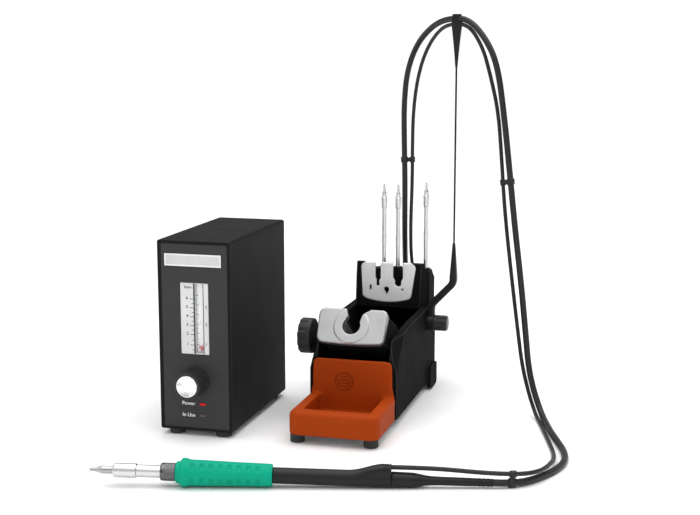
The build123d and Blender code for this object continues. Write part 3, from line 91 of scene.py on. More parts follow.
softbox("top_light", (0.1, 0.15, 1.9), (0.0, 0.1, 0.0), 2.0, 9.0)
softbox("left_light", (-1.7, -1.3, 1.1), (0.0, 0.0, 0.1), 1.2, 4.0)
softbox("front_light", (0.5, -1.7, 0.9), (0.0, 0.0, 0.1), 1.0, 2.0)
softbox("right_light", (1.6, -1.5, 1.2), (0.0, 0.0, 0.1), 1.4, 1.0)
world = bpy.data.worlds.new("studio")
world.use_nodes = True
# the sky is white at the horizon, grey halfway up and brightest overhead
SKY_STRENGTH = 2.0
SKY = [(0.0, 0.5), (0.1, 0.5), (0.2, 0.13), (0.55, 0.16), (0.8, 0.82), (1.0, 0.98)]
backdrop = world.node_tree.nodes["Background"]
direction = world.node_tree.nodes.new("ShaderNodeTexCoord").outputs["Generated"]
height = world.node_tree.nodes.new("ShaderNodeSeparateXYZ")
ramp = world.node_tree.nodes.new("ShaderNodeValToRGB")
while len(ramp.color_ramp.elements) < len(SKY):
    ramp.color_ramp.elements.new(1.0)
for stop, (level, grey) in zip(ramp.color_ramp.elements, SKY):
    stop.position = level
    stop.color = (grey, grey, grey, 1.0)
world.node_tree.links.new(direction, height.inputs[0])
world.node_tree.links.new(height.outputs[2], ramp.inputs[0])
world.node_tree.links.new(ramp.outputs[0], backdrop.inputs["Color"])
backdrop.inputs["Strength"].default_value = SKY_STRENGTH
bpy.context.scene.world = world

# the floor is a flat disc, in rings that grow outward
FLOOR_RADII = (0.6, 2.4, 8.0, 30.0)
FLOOR_SIDES = 96
floor_mesh = bmesh.new()
floor_centre = floor_mesh.verts.new((0, 0, 0))
inner_ring = None
for ring_radius in FLOOR_RADII:
    ring = [floor_mesh.verts.new((ring_radius * cos(2 * pi * k / FLOOR_SIDES),
                                  ring_radius * sin(2 * pi * k / FLOOR_SIDES), 0.0))
            for k in range(FLOOR_SIDES)]
    for k in range(FLOOR_SIDES):
        if inner_ring is None:
            floor_mesh.faces.new((floor_centre, ring[k], ring[(k + 1) % FLOOR_SIDES]))
        else:
            floor_mesh.faces.new((inner_ring[k], ring[k], ring[(k + 1) % FLOOR_SIDES],
                                  inner_ring[(k + 1) % FLOOR_SIDES]))
    inner_ring = ring
floor_data = bpy.data.meshes.new("floor")
floor_mesh.to_mesh(floor_data)
floor_mesh.free()
for polygon in floor_data.polygons:
    polygon.use_smooth = True
floor = add_object("floor", floor_data)


# ---------------------------------------------------------------- materials
def add_node(tree, kind, sockets=(), **settings):
    """A shader node; a socket's value is a number, a tuple or another node's output."""
    made = tree.nodes.new("ShaderNode" + kind)
    for key, value in settings.items():
        setattr(made, key, value)
    for key, value in dict(sockets).items():
        if isinstance(value, bpy.types.NodeSocket):
            tree.links.new(value, made.inputs[key])
        else:
            made.inputs[key].default_value = value
    return made


def noise(tree, size, stretch=(1, 1, 1), detail=3.0):
    """Noise fixed to the piece; size is in millimetres."""
    place = add_node(tree, "TexCoord").outputs["Object"]
    spread = [s / (size * MM) for s in stretch]
    spaced = add_node(tree, "Mapping", {"Vector": place, "Scale": spread}).outputs[0]
    return add_node(tree, "TexNoise", {"Vector": spaced, "Scale": 1.0, "Detail": detail}).outputs[0]


def ranged(tree, value, out_low, out_high, in_low=0.3, in_high=0.7):
    """value, mapped from one range onto another."""
    return add_node(tree, "MapRange", {"Value": value, "From Min": in_low, "From Max": in_high,
                                       "To Min": out_low, "To Max": out_high}).outputs[0]


def mixed(tree, share, first, second):
    """A colour between two, each a tuple or another node's output."""
    mix = add_node(tree, "Mix", {0: share}, data_type="RGBA")
    for index, colour in ((6, first), (7, second)):
        if isinstance(colour, bpy.types.NodeSocket):
            tree.links.new(colour, mix.inputs[index])
        else:
            mix.inputs[index].default_value = (*colour, 1.0)
    return mix.outputs[2]


def finish(name, colour, rough, metal=0.0, grain=0.4, depth=0.02, stretch=(1, 1, 1), tint=0.12,
           spread=0.06, edge=0.25, edge_highlight=0.0, highlight_band=(0.995, 0.9), **sockets):
    """A surface with fine grain, slow changes of colour and gloss, softened edges, and a painted highlight
    that lightens the edges.
    grain, depth and edge are in millimetres; sockets are constants of the shader."""
    made = bpy.data.materials.new(name)
    made.use_nodes = True
    tree = made.node_tree
    shader = tree.nodes["Principled BSDF"]
    shader.inputs["Metallic"].default_value = metal
    for key, value in sockets.items():
        shader.inputs[key.replace("_", " ")].default_value = value
    fine = noise(tree, grain, stretch)
    broad = noise(tree, 22.0, detail=5.0)
    dark = [c * (1 - tint) for c in colour]
    light = [min(1.0, c * (1 + tint)) for c in colour]
    shade = mixed(tree, ranged(tree, broad, 0.0, 1.0), dark, light)
    shade = mixed(tree, ranged(tree, fine, 0.0, 0.35), shade, dark)
    soft = add_node(tree, "Bevel", {"Radius": edge * MM}, samples=4).outputs[0]
    # painted highlight: edges, where the bevelled normal turns away from the true one, are lightened
    # towards a brighter colour, standing in for the light they catch
    if edge_highlight:
        true = add_node(tree, "NewGeometry").outputs["Normal"]
        turn = add_node(tree, "VectorMath", {0: soft, 1: true},
                        operation="DOT_PRODUCT").outputs["Value"]
        highlight_colour = [min(1.0, c * 1.6 + 0.05) for c in colour]
        shade = mixed(tree, ranged(tree, turn, 0.0, edge_highlight, in_low=highlight_band[0], in_high=highlight_band[1]),
                      shade, highlight_colour)
    tree.links.new(shade, shader.inputs["Base Color"])
    gloss = ranged(tree, broad, rough - spread, rough + spread)
    tree.links.new(gloss, shader.inputs["Roughness"])
    bump = add_node(tree, "Bump", {"Height": fine, "Distance": depth * MM, "Strength": 1.0,
                                   "Normal": soft})
    tree.links.new(bump.outputs[0], shader.inputs["Normal"])
    return made


ALONG_X, ALONG_Z = (0.03, 1, 1), (1, 1, 0.03)
DULL = {"Specular_IOR_Level": 0.22}
FLAT = {"Specular_IOR_Level": 0.05}
# the edge lightening set on a finish paints a highlight along its edges
finishes = {
    "case_paint": finish("case_paint", (0.0105, 0.0105, 0.0107), 0.55, grain=0.6, depth=0.03, tint=0.06,
                         spread=0.03, edge=0.5, edge_highlight=0.9, **FLAT),
    "panel_paint": finish("panel_paint", (0.036, 0.036, 0.037), 0.5, grain=0.35, tint=0.05,
                          spread=0.03, edge_highlight=0.2, **DULL),
    "badge_metal": finish("badge_metal", (0.78, 0.78, 0.79), 0.3, 0.9, stretch=ALONG_X, depth=0.012),
    "meter_metal": finish("meter_metal", (0.7, 0.7, 0.71), 0.42, 0.1, stretch=ALONG_Z, depth=0.008,
                          tint=0.06),
    "tube_glass": finish("tube_glass", (0.95, 0.96, 0.97), 0.06, tint=0.01, spread=0.02, depth=0.001,
                         Alpha=0.25),
    "float_red": finish("float_red", (0.62, 0.01, 0.015), 0.35, depth=0.005),
    "knob_black": finish("knob_black", (0.03, 0.03, 0.0305), 0.36, tint=0.08, edge_highlight=0.3, **DULL),
    "mirror_cap": finish("mirror_cap", (0.85, 0.85, 0.86), 0.08, 1.0, tint=0.03, spread=0.03, depth=0.001),
    "brass": finish("brass", (0.72, 0.5, 0.2), 0.3, 1.0, depth=0.006),
    "steel": finish("steel", (0.6, 0.6, 0.62), 0.36, 1.0, stretch=ALONG_X, depth=0.008),
    "valve_black": finish("valve_black", (0.03, 0.03, 0.03), 0.4),
    "board_green": finish("board_green", (0.015, 0.15, 0.06), 0.45, grain=1.2),
    "led_red": finish("led_red", (0.5, 0.004, 0.004), 0.3, depth=0.004, Emission_Color=(1, 0, 0, 1),
                      Emission_Strength=0.15, **DULL),
    "led_dark": finish("led_dark", (0.09, 0.05, 0.05), 0.3, depth=0.004),
    "foot_rubber": finish("foot_rubber", (0.045, 0.046, 0.048), 0.82, grain=0.8, depth=0.05, edge=0.5,
                          **DULL),
    "stand_black": finish("stand_black", (0.0085, 0.0085, 0.0087), 0.7, grain=0.5, depth=0.03, edge=1.2,
                          tint=0.07, spread=0.04, edge_highlight=0.9, Specular_IOR_Level=0.02),
    "tray_orange": finish("tray_orange", (0.36, 0.047, 0.0045), 0.55, grain=0.7, depth=0.03, tint=0.06,
                          **FLAT),
    "holder_aluminium": finish("holder_aluminium", (0.36, 0.36, 0.365), 0.33, 0.8, grain=0.45, depth=0.02,
                               edge=1.0, edge_highlight=1.0, highlight_band=(0.999, 0.97)),
    "cartridge_steel": finish("cartridge_steel", (0.66, 0.66, 0.67), 0.26, 1.0, stretch=(1, 1, 4),
                              depth=0.006),
    "mast_black": finish("mast_black", (0.01, 0.01, 0.0102), 0.36, edge=0.6, edge_highlight=0.2, **DULL),
    "wire_black": finish("wire_black", (0.008, 0.008, 0.0082), 0.35, depth=0.006, **DULL),
    "nozzle_metal": finish("nozzle_metal", (0.68, 0.68, 0.69), 0.3, 1.0, depth=0.005, tint=0.05),
    "grip_green": finish("grip_green", (0.0, 0.34, 0.21), 0.55, grain=0.6, depth=0.04, tint=0.07,
                         Specular_IOR_Level=0.12),
    "handle_black": finish("handle_black", (0.0085, 0.0085, 0.0087), 0.36, grain=0.4, depth=0.015,
                           tint=0.06, Specular_IOR_Level=0.25),
    "cord_black": finish("cord_black", (0.012, 0.012, 0.0123), 0.42, grain=0.9, depth=0.03,
                         Specular_IOR_Level=0.35),
    # the extractor plate's finish is a lighter copy of its slot's metal: painted light
    "plate_painted_light": finish("plate_painted_light", (0.97, 0.97, 0.975), 0.4, 0.15, grain=0.45, depth=0.03,
                           edge=0.8, edge_highlight=0.5),
    # a darker copy of the nozzle metal for the knurled collar: painted shade standing in for the dark it
    # reflects
    "collar_painted_shade": finish("collar_painted_shade", (0.13, 0.13, 0.133), 0.2, 1.0, depth=0.005, tint=0.05),
    "badge_field": finish("badge_field", (0.6, 0.6, 0.61), 0.35, 0.9, stretch=ALONG_X, depth=0.012),
    "dark_tip": finish("dark_tip", (0.45, 0.45, 0.455), 0.3, 1.0, depth=0.006),
    "gas_tube": finish("gas_tube", (0.08, 0.3, 0.6), 0.3, depth=0.005, Transmission_Weight=0.35),
}
inks = {
    # this dark ink also colours the painted shade lines along the meter's slot
    "ink_and_slot_shade": finish("ink_and_slot_shade", (0.012, 0.012, 0.012), 0.5),
    "label_ink": finish("label_ink", (0.93, 0.93, 0.93), 0.5, tint=0.03),
}
floor.data.materials.append(finish("floor_paper", (0.93, 0.93, 0.93), 0.85, grain=3.0, depth=0.01,
                                   tint=0.01))


# the grooves' darker colour is painted shade: they are only bumped, not cut
GROOVE_PAINTED_SHADE = (0.12, 0.02, 0.006)
PAINTED_SHADE_SHARE = 0.45


def engrave_rings(made, centre, radii, width, depth):
    """Concentric grooves, round a centre, in the faces that lie near the centre's y, darkened with painted
    shade.
    """
    tree = made.node_tree
    shader = tree.nodes["Principled BSDF"]
    place = add_node(tree, "TexCoord").outputs["Object"]
    flat = add_node(tree, "VectorMath", {0: place, 1: (1, 0, 1)}, operation="MULTIPLY").outputs[0]
    away = add_node(tree, "VectorMath", {0: flat, 1: (centre.x, 0, centre.z)},
                    operation="DISTANCE").outputs["Value"]
    groove = None
    for radius in radii:
        off = add_node(tree, "Math", {0: away, 1: radius}, operation="SUBTRACT").outputs[0]
        off = add_node(tree, "Math", {0: off}, operation="ABSOLUTE").outputs[0]
        ring = ranged(tree, off, 1.0, 0.0, in_low=width * 0.25, in_high=width * 0.75)
        groove = ring if groove is None else add_node(tree, "Math", {0: groove, 1: ring},
                                                      operation="MAXIMUM").outputs[0]
    along = add_node(tree, "SeparateXYZ", {0: place}).outputs[1]
    near = add_node(tree, "Math", {0: along, 1: centre.y, 2: 2 * MM}, operation="COMPARE").outputs[0]
    groove = add_node(tree, "Math", {0: groove, 1: near}, operation="MULTIPLY").outputs[0]
    before = shader.inputs["Normal"].links[0].from_socket
    bump = add_node(tree, "Bump", {"Height": groove, "Distance": depth, "Normal": before}, invert=True)
    tree.links.new(bump.outputs[0], shader.inputs["Normal"])
    # painted shade: the colour in the grooves is darkened towards a brown-red
    colour = shader.inputs["Base Color"].links[0].from_socket
    share = ranged(tree, groove, 0.0, PAINTED_SHADE_SHARE, in_low=0.0, in_high=1.0)
    tree.links.new(mixed(tree, share, colour, GROOVE_PAINTED_SHADE), shader.inputs["Base Color"])


EMBLEM_AT = Vector((-2.4, 9.0, 35.9)) * MM
EMBLEM_RADII = (7.1 * MM, 4.5 * MM, 1.9 * MM)
engrave_rings(finishes["tray_orange"], EMBLEM_AT, EMBLEM_RADII, width=0.8 * MM, depth=0.5 * MM)

# painted light: the meter tube's back half is made near opaque white and glows, standing in for the light
# seen through the glass
CLEAR_ALPHA, GLOW_BACK_ALPHA, PAINTED_GLOW, GLOW_BACK_EDGE = 0.12, 0.97, 0.16, 0.3 * MM


def enamel_back(made, y):
    """Makes a glass near opaque white behind the plane at y, with a painted glow standing in for light
    seen through it, and leaves it clear in front.
    """
    tree = made.node_tree
    shader = tree.nodes["Principled BSDF"]
    place = add_node(tree, "NewGeometry").outputs["Position"]
    along = add_node(tree, "SeparateXYZ", {0: place}).outputs[1]
    glow_back = ranged(tree, along, CLEAR_ALPHA, GLOW_BACK_ALPHA, in_low=y, in_high=y + GLOW_BACK_EDGE)
    painted_glow = add_node(tree, "Math", {0: glow_back, 1: PAINTED_GLOW}, operation="MULTIPLY").outputs[0]
    tree.links.new(glow_back, shader.inputs["Alpha"])
    tree.links.new(painted_glow, shader.inputs["Emission Strength"])


# the tube's back half glows behind its middle: painted light
tube_low, tube_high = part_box("flow_tube")
enamel_back(finishes["tube_glass"], (tube_low.y + tube_high.y) / 2)

# every CAD node takes its slot's finish, apart from two that have one of their own; the extractor plate's
# is a lighter copy of its slot's metal, painted light
OWN_FINISH = {"extractor_plate": "plate_painted_light", "tip_cartridge": "dark_tip"}
for part in frame["record"]["subparts"]:
    data = nodes[part["node"]].data
    data.materials.clear()
    data.materials.append(finishes[OWN_FINISH.get(part["node"], part["material_slot"])])


# ---------------------------------------------------------------- mesh helpers
def smooth_mesh(name, points, faces):
    """A mesh object, its points in millimetres, with smooth shading and outward normals."""
    data = bpy.data.meshes.new(name)
    data.from_pydata([Vector(p) * MM for p in points], [], faces)
    shape = bmesh.new()
    shape.from_mesh(data)
    bmesh.ops.recalc_face_normals(shape, faces=shape.faces)
    shape.to_mesh(data)
    shape.free()
    for polygon in data.polygons:
        polygon.use_smooth = True
    return add_object(name, data)


def place_piece(made, body, slot, *replaced):
    """Gives a piece its finish and its body, in place of the CAD nodes named."""
    made.data.materials.clear()
    made.data.materials.append(finishes[slot])
    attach(made, body)
    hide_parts(*replaced)


# ---------------------------------------------------------------- cords
# each cord rises from the stand over the mast and comes down to the floor, where a second tube
# takes over and runs to the handpiece; the routes are in metres
CABLE_R, HOSE_R = 2.5 * MM, 1.6 * MM
cable_upper_route = [
    (0.0, 0.188, 0.036), (0.0, 0.2, 0.0372), (0.0002, 0.2115, 0.048), (0.001, 0.2125, 0.063),
    (0.0035, 0.201, 0.086), (0.006, 0.1865, 0.112), (0.0078, 0.1764, 0.142), (0.0079, 0.1759, 0.178),
    (0.0068, 0.1766, 0.214), (0.0062, 0.1771, 0.247), (0.0094, 0.1743, 0.276), (0.02, 0.165, 0.2995),
    (0.0365, 0.1505, 0.3146), (0.0522, 0.1366, 0.3204), (0.0727, 0.1207, 0.3204),
    (0.0901, 0.1089, 0.303), (0.1007, 0.1016, 0.282), (0.1073, 0.0971, 0.243), (0.1128, 0.0934, 0.202),
    (0.1188, 0.0893, 0.155), (0.1258, 0.0845, 0.108), (0.131, 0.081, 0.066), (0.134, 0.079, 0.04),
    (0.1391, 0.0758, 0.0214), (0.1443, 0.0719, 0.00895), (0.149, 0.0629, 0.00255),
    (0.1516, 0.0538, 0.00255),
]
cable_floor_route = [
    (0.1516, 0.0538, 0.00255), (0.1545, 0.0436, 0.00255), (0.16, 0.0244, 0.00255),
    (0.1673, 0.003, 0.00255), (0.174, -0.018, 0.00255), (0.177, -0.04, 0.00255),
    (0.172, -0.062, 0.00255), (0.163, -0.08, 0.0027), (0.1501, -0.09845, 0.00335),
    (0.13433, -0.1024, 0.00383),
]
hose_upper_route = [
    (0.02, 0.184, 0.036), (0.02, 0.192, 0.0368), (0.02, 0.2, 0.044), (0.0196, 0.2015, 0.056),
    (0.0166, 0.193, 0.078), (0.0129, 0.182, 0.104), (0.0132, 0.1763, 0.138), (0.0146, 0.1759, 0.178),
    (0.0143, 0.1766, 0.214), (0.015, 0.1759, 0.241), (0.019, 0.1723, 0.268), (0.027, 0.1638, 0.2905),
    (0.0386, 0.1516, 0.307), (0.0522, 0.1366, 0.3159), (0.0727, 0.1207, 0.3159),
    (0.0865, 0.1111, 0.2975), (0.0942, 0.1052, 0.275), (0.1022, 0.1002, 0.245), (0.1058, 0.0982, 0.208),
    (0.1096, 0.0957, 0.165), (0.1158, 0.0915, 0.12), (0.1228, 0.0867, 0.074), (0.1282, 0.083, 0.04),
    (0.1352, 0.0771, 0.0177), (0.1396, 0.0737, 0.007), (0.1435, 0.0662, 0.00165),
    (0.14565, 0.0585, 0.00165),
]
hose_floor_route = [
    (0.14565, 0.0585, 0.00165), (0.149, 0.0465, 0.00165), (0.1544, 0.026, 0.00165),
    (0.1605, 0.003, 0.00165), (0.1663, -0.02, 0.00165), (0.1686, -0.041, 0.0034),
    (0.1684, -0.06, 0.0069), (0.1662, -0.077, 0.0081), (0.159, -0.0915, 0.0093),
    (0.147, -0.0992, 0.01), (0.1257, -0.1046, 0.011), (0.1034, -0.1102, 0.0132),
    (0.0821, -0.1156, 0.01425), (0.0669, -0.11946, 0.0145),
]


def cord_tube(name, route, radius, node):
    """A tube on the route's smooth line, and the points of that line."""
    curve = bpy.data.curves.new(name, "CURVE")
    curve.dimensions = "3D"
    spline = curve.splines.new("NURBS")
    spline.points.add(len(route) - 1)
    for point, place in zip(spline.points, route):
        point.co = (*place, 1.0)
    spline.order_u = 3
    spline.use_endpoint_u = True
    spline.resolution_u = 10
    line = bpy.data.objects.new(name + "_line", curve)
    path = [v.co.copy() for v in bpy.data.meshes.new_from_object(line).vertices]
    curve.bevel_depth = radius
    curve.bevel_resolution = 5
    curve.use_fill_caps = True
    tube = add_object(name, bpy.data.meshes.new_from_object(line))
    bpy.data.objects.remove(line)
    for polygon in tube.data.polygons:
        polygon.use_smooth = True
    tube.data.materials.clear()
    tube.data.materials.append(finishes["cord_black"])
    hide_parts(node)
    return tube, path


cable_up, cable_up_path = cord_tube("cable_rise", cable_upper_route, CABLE_R, "cable_upper")
cable_low, cable_low_path = cord_tube("cable_run", cable_floor_route, CABLE_R, "cable_floor")
hose_up, hose_up_path = cord_tube("hose_rise", hose_upper_route, HOSE_R, "hose_upper")
hose_low, hose_low_path = cord_tube("hose_run", hose_floor_route, HOSE_R, "hose_floor")

TIE_WALL, TIE_HALF, TIE_SIDES = 0.85 * MM, 2.5 * MM, 40
TIE_CHAMFER = 0.45 * MM
BRIDGE_R = 1.6 * MM


def cord_tie(name, near, cable_path, hose_path):
    """A moulded clip round both cords: a ring on each, and a bridge between the two. It sits at the
    point of the cable's line that is nearest to near, and at the hose's point beside that."""
    index = min(range(1, len(cable_path) - 1), key=lambda i: (cable_path[i] - near).length)
    cable_at = cable_path[index]
    forward = (cable_path[index + 1] - cable_path[index - 1]).normalized()
    hose_at = min(hose_path,
                  key=lambda p: abs((p - cable_at).dot(forward)) + 0.2 * (p - cable_at).length)
    outward = (hose_at - cable_at) - (hose_at - cable_at).dot(forward) * forward
    span = outward.length
    outward.normalize()
    up = forward.cross(outward)
    rings = [(TIE_HALF, [(0.0, CABLE_R + TIE_WALL)]), (TIE_HALF, [(span, HOSE_R + TIE_WALL)]),
             (0.7 * TIE_HALF, [(0.0, BRIDGE_R), (span, BRIDGE_R)])]
    points, faces = [], []
    for half, circles in rings:
        first = len(points)
        for shift, less in ((-half, TIE_CHAMFER), (-0.8 * half, 0.0), (0.8 * half, 0.0),
                            (half, TIE_CHAMFER)):
            for k in range(TIE_SIDES):
                angle = 2 * pi * k / TIE_SIDES
                way = cos(angle) * outward + sin(angle) * up
                base, radius = max(circles, key=lambda pair: pair[0] * cos(angle) + pair[1])
                ring_at = cable_at + base * outward + shift * forward
                points.append((ring_at + (radius - less) * way) / MM)
        faces.append(tuple(range(first, first + TIE_SIDES)))
        faces.append(tuple(range(first + 3 * TIE_SIDES, first + 4 * TIE_SIDES)))
        for row in range(3):
            for k in range(TIE_SIDES):
                near_side, far_side = first + row * TIE_SIDES, first + (row + 1) * TIE_SIDES
                after = (k + 1) % TIE_SIDES
                faces.append((near_side + k, near_side + after, far_side + after, far_side + k))
    tie = smooth_mesh(name, points, faces)
    tie.data.materials.append(finishes["cord_black"])
    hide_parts("cord_clips")
    return tie


left_tie = cord_tie("left_tie", Vector((7.3, 176.3, 199.0)) * MM, cable_up_path, hose_up_path)
right_tie = cord_tie("right_tie", Vector((114.3, 92.3, 189.0)) * MM, cable_up_path, hose_up_path)
hand_tie = cord_tie("hand_tie", Vector((146.8, -99.2, 3.6)) * MM, cable_low_path, hose_low_path)

for piece in (cable_up, hose_up, left_tie, right_tie):
    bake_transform(piece)
for piece in (cable_low, hose_low):
    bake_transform(piece)
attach(hand_tie, "handpiece")

# ---------------------------------------------------------------- handpiece
TIP = Vector((-134.0, -170.3, 11.8))
YAW, DIP = radians(14.2), radians(1.65)
along = Vector((cos(YAW) * cos(DIP), sin(YAW) * cos(DIP), -sin(DIP)))
across = Vector((sin(YAW), -cos(YAW), 0.0))
above = across.cross(along)
HAND_AXIS = (TIP, along, above, across)


def around(station, radius, angle, axis=HAND_AXIS):
    """A point at a station of an axis; angle 0 is up, and pi / 2 is the axis's last direction."""
    origin, forward, up, aside = axis
    return origin + station * forward + radius * (cos(angle) * up + sin(angle) * aside)


def rounded(corners, step, passes):
    """The closed outline through the corners, in short runs, its corners rounded off."""
    points = []
    for start, end in zip(corners, corners[1:] + corners[:1]):
        start, end = Vector(start), Vector(end)
        count = max(1, round((end - start).length / step))
        points += [start.lerp(end, i / count) for i in range(count)]
    for _ in range(passes):
        points = [(points[i - 1] + 2 * p + points[(i + 1) % len(points)]) / 4
                  for i, p in enumerate(points)]
    return points


def turned(name, corners, relief=None, sides=96, step=0.4, passes=4, axis=HAND_AXIS):
    """A shape turned about an axis from (station, radius) corners. relief gives how far the surface
    is sunk at a station, an angle and a radius."""
    section = rounded(corners, step, passes)
    points = []
    for station, radius in section:
        for k in range(sides):
            angle = 2 * pi * k / sides
            sunk = relief(station, angle, radius) if relief else 0.0
            points.append(around(station, radius - sunk, angle, axis))
    count = len(section)
    faces = [(i * sides + k, i * sides + (k + 1) % sides,
              ((i + 1) % count) * sides + (k + 1) % sides, ((i + 1) % count) * sides + k)
             for i in range(count) for k in range(sides)]
    return smooth_mesh(name, points, faces)


def ease(t):
    """Rises smoothly from 0 to 1 as t does."""
    t = min(1.0, max(0.0, t))
    return t * t * (3 - 2 * t)


# stations of the handpiece's pieces, from the tip of the cartridge, and the body's radius
COLLAR_S, GRIP_S, BODY_S, BOOT_S, BOOT_END = 49.0, 59.5, 125.9, 207.2, 277.2
BODY_R = 5.6

DIMPLE_S, DIMPLE_PITCH, DIMPLES = 71.4, 6.37, 8
DIMPLE_LONG, DIMPLE_WIDE, DIMPLE_DEPTH = 2.5, 4.4, 1.0
DIMPLE_ROWS = [radians(a) for a in (40, 113, 220, 293)]
DIMPLE_FADE = 1.6
GRIP_OUTSIDE = 6.5


def grip_relief(station, angle, radius):
    """Four rows of shallow oblong dimples."""
    if radius < GRIP_OUTSIDE:
        return 0.0
    index = round((station - DIMPLE_S) / DIMPLE_PITCH)
    if not 0 <= index < DIMPLES:
        return 0.0
    off_s = abs(station - DIMPLE_S - index * DIMPLE_PITCH) / (DIMPLE_LONG / 2)
    turn = min(abs((angle - row + pi) % (2 * pi) - pi) for row in DIMPLE_ROWS)
    off_a = turn * radius / (DIMPLE_WIDE / 2)
    return DIMPLE_DEPTH * ease(DIMPLE_FADE * (1.25 - off_s)) * ease(DIMPLE_FADE * (1.25 - off_a))


# the collar at the grip's front end stands out, and the grip tapers behind it
grip = turned("grip_sleeve", [(GRIP_S, 4.2), (GRIP_S, 6.9), (60.0, 7.4), (62.5, 7.6), (63.5, 9.6),
                              (64.4, 10.0), (66.8, 9.9), (69.4, 8.95), (78.0, 8.85), (100.0, 8.25),
                              (124.4, 7.85), (BODY_S, 7.4), (BODY_S, 4.2)],
              relief=grip_relief, sides=128)
place_piece(grip, "handpiece", "grip_green", "grip")

KNURLS, KNURL_DEPTH, KNURL_S, KNURL_R = 44, 0.16, 52.0, 6.0


def knurl_relief(station, angle, radius):
    """Fine ridges along the collar, behind its plain front."""
    if radius <= KNURL_R or station <= KNURL_S:
        return 0
    return KNURL_DEPTH * (0.5 + 0.5 * cos(KNURLS * angle))


collar = turned("knurled_collar", [(COLLAR_S, 3.3), (COLLAR_S, 5.5), (COLLAR_S + 0.9, 6.2),
                                   (GRIP_S, 6.2), (GRIP_S, 3.3)],
                relief=knurl_relief, sides=240, passes=2)
place_piece(collar, "handpiece", "nozzle_metal", "nozzle_collar")
# the collar takes a darker copy of the nozzle metal: painted shade that stands in for the dark it reflects
collar.data.materials[0] = finishes["collar_painted_shade"]

BORE_S, BORE_R = 150.0, 4.2
shell = turned("handle_shell", [(BODY_S, BORE_R), (BODY_S, BODY_R), (BOOT_S, BODY_R), (BOOT_S, 2.8),
                                (BORE_S, 2.8), (BORE_S, BORE_R)], passes=3)
place_piece(shell, "handpiece", "handle_black", "handle_body")

RIB_S, RIB_PITCH, RIB_DEPTH = 262.0, 3.2, 0.18


def boot_relief(station, angle, radius):
    """Narrow grooves round the boot's last stretch."""
    if station <= RIB_S or radius <= 2:
        return 0
    return RIB_DEPTH * ease(abs(cos(pi * station / RIB_PITCH)) * 4 - 3)


boot = turned("strain_boot", [(BOOT_S, 0.4), (BOOT_S, 5.4), (221.0, 5.1), (223.5, 4.95), (226.5, 4.4),
                              (230.0, 3.7), (234.0, 3.2), (240.0, 3.0), (BOOT_END, 2.8),
                              (BOOT_END, 0.4)], relief=boot_relief)
place_piece(boot, "handpiece", "handle_black", "strain_relief")

# a wedge on top of the body that leads the hose in, with three grooves across its high end
LEAD_S0, LEAD_S1, LEAD_FULL, LEAD_TOP, LEAD_SPREAD = 178.0, 207.0, 203.0, 10.5, radians(64)
LEAD_GROOVES, LEAD_GROOVE_DEPTH = (202.2, 203.9, 205.6), 0.4
LEAD_ROWS, LEAD_COLUMNS = 72, 40
lead_points, lead_faces = [], []
for i in range(LEAD_ROWS + 1):
    station = LEAD_S0 + (LEAD_S1 - LEAD_S0) * i / LEAD_ROWS
    rise = (LEAD_TOP - BODY_R) * ease((station - LEAD_S0) / (LEAD_FULL - LEAD_S0))
    groove = max(ease(1.6 - 4 * abs(station - g)) for g in LEAD_GROOVES)
    for k in range(LEAD_COLUMNS + 1):
        share = 2 * k / LEAD_COLUMNS - 1
        crown = ease(1.35 * (1 - abs(share)))
        high = (rise - LEAD_GROOVE_DEPTH * groove) * crown
        lead_points.append(around(station, BODY_R + 0.03 + high, share * LEAD_SPREAD))
    for k in range(LEAD_COLUMNS + 1):
        share = 1 - 2 * k / LEAD_COLUMNS
        lead_points.append(around(station, BODY_R - 0.4, share * LEAD_SPREAD))
lead_ring = 2 * (LEAD_COLUMNS + 1)
for i in range(LEAD_ROWS):
    for k in range(lead_ring):
        after = (k + 1) % lead_ring
        lead_faces.append((i * lead_ring + k, i * lead_ring + after,
                           (i + 1) * lead_ring + after, (i + 1) * lead_ring + k))
for i in (0, LEAD_ROWS):
    for k in range(LEAD_COLUMNS):
        lead_faces.append((i * lead_ring + k, i * lead_ring + k + 1,
                           (i + 1) * lead_ring - k - 2, (i + 1) * lead_ring - k - 1))
lead = smooth_mesh("hose_lead", lead_points, lead_faces)
lead.data.set_sharp_from_angle(angle=radians(50))
place_piece(lead, "handpiece", "handle_black", "hose_boss")


# ---------------------------------------------------------------- knob cap
# a mirror disc, dished inside a raised rim
cap_low, cap_high = (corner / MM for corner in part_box("knob_cap"))
cap_axis = (Vector(((cap_low.x + cap_high.x) / 2, cap_high.y, (cap_low.z + cap_high.z) / 2)),
            Vector((0, -1, 0)), Vector((0, 0, 1)), Vector((1, 0, 0)))
cap_r, cap_t = (cap_high.x - cap_low.x) / 2, cap_high.y - cap_low.y
cap = turned("mirror_disc", [(0.0, 0.02), (0.0, cap_r), (cap_t - 0.15, cap_r), (cap_t, cap_r - 0.2),
                             (cap_t, cap_r - 1.0), (cap_t - 0.15, cap_r - 1.15), (0.2 * cap_t, 4.4),
                             (0.2 * cap_t, 0.02)], step=0.2, passes=1, axis=cap_axis)
place_piece(cap, "flow_knob", "mirror_cap", "knob_cap")


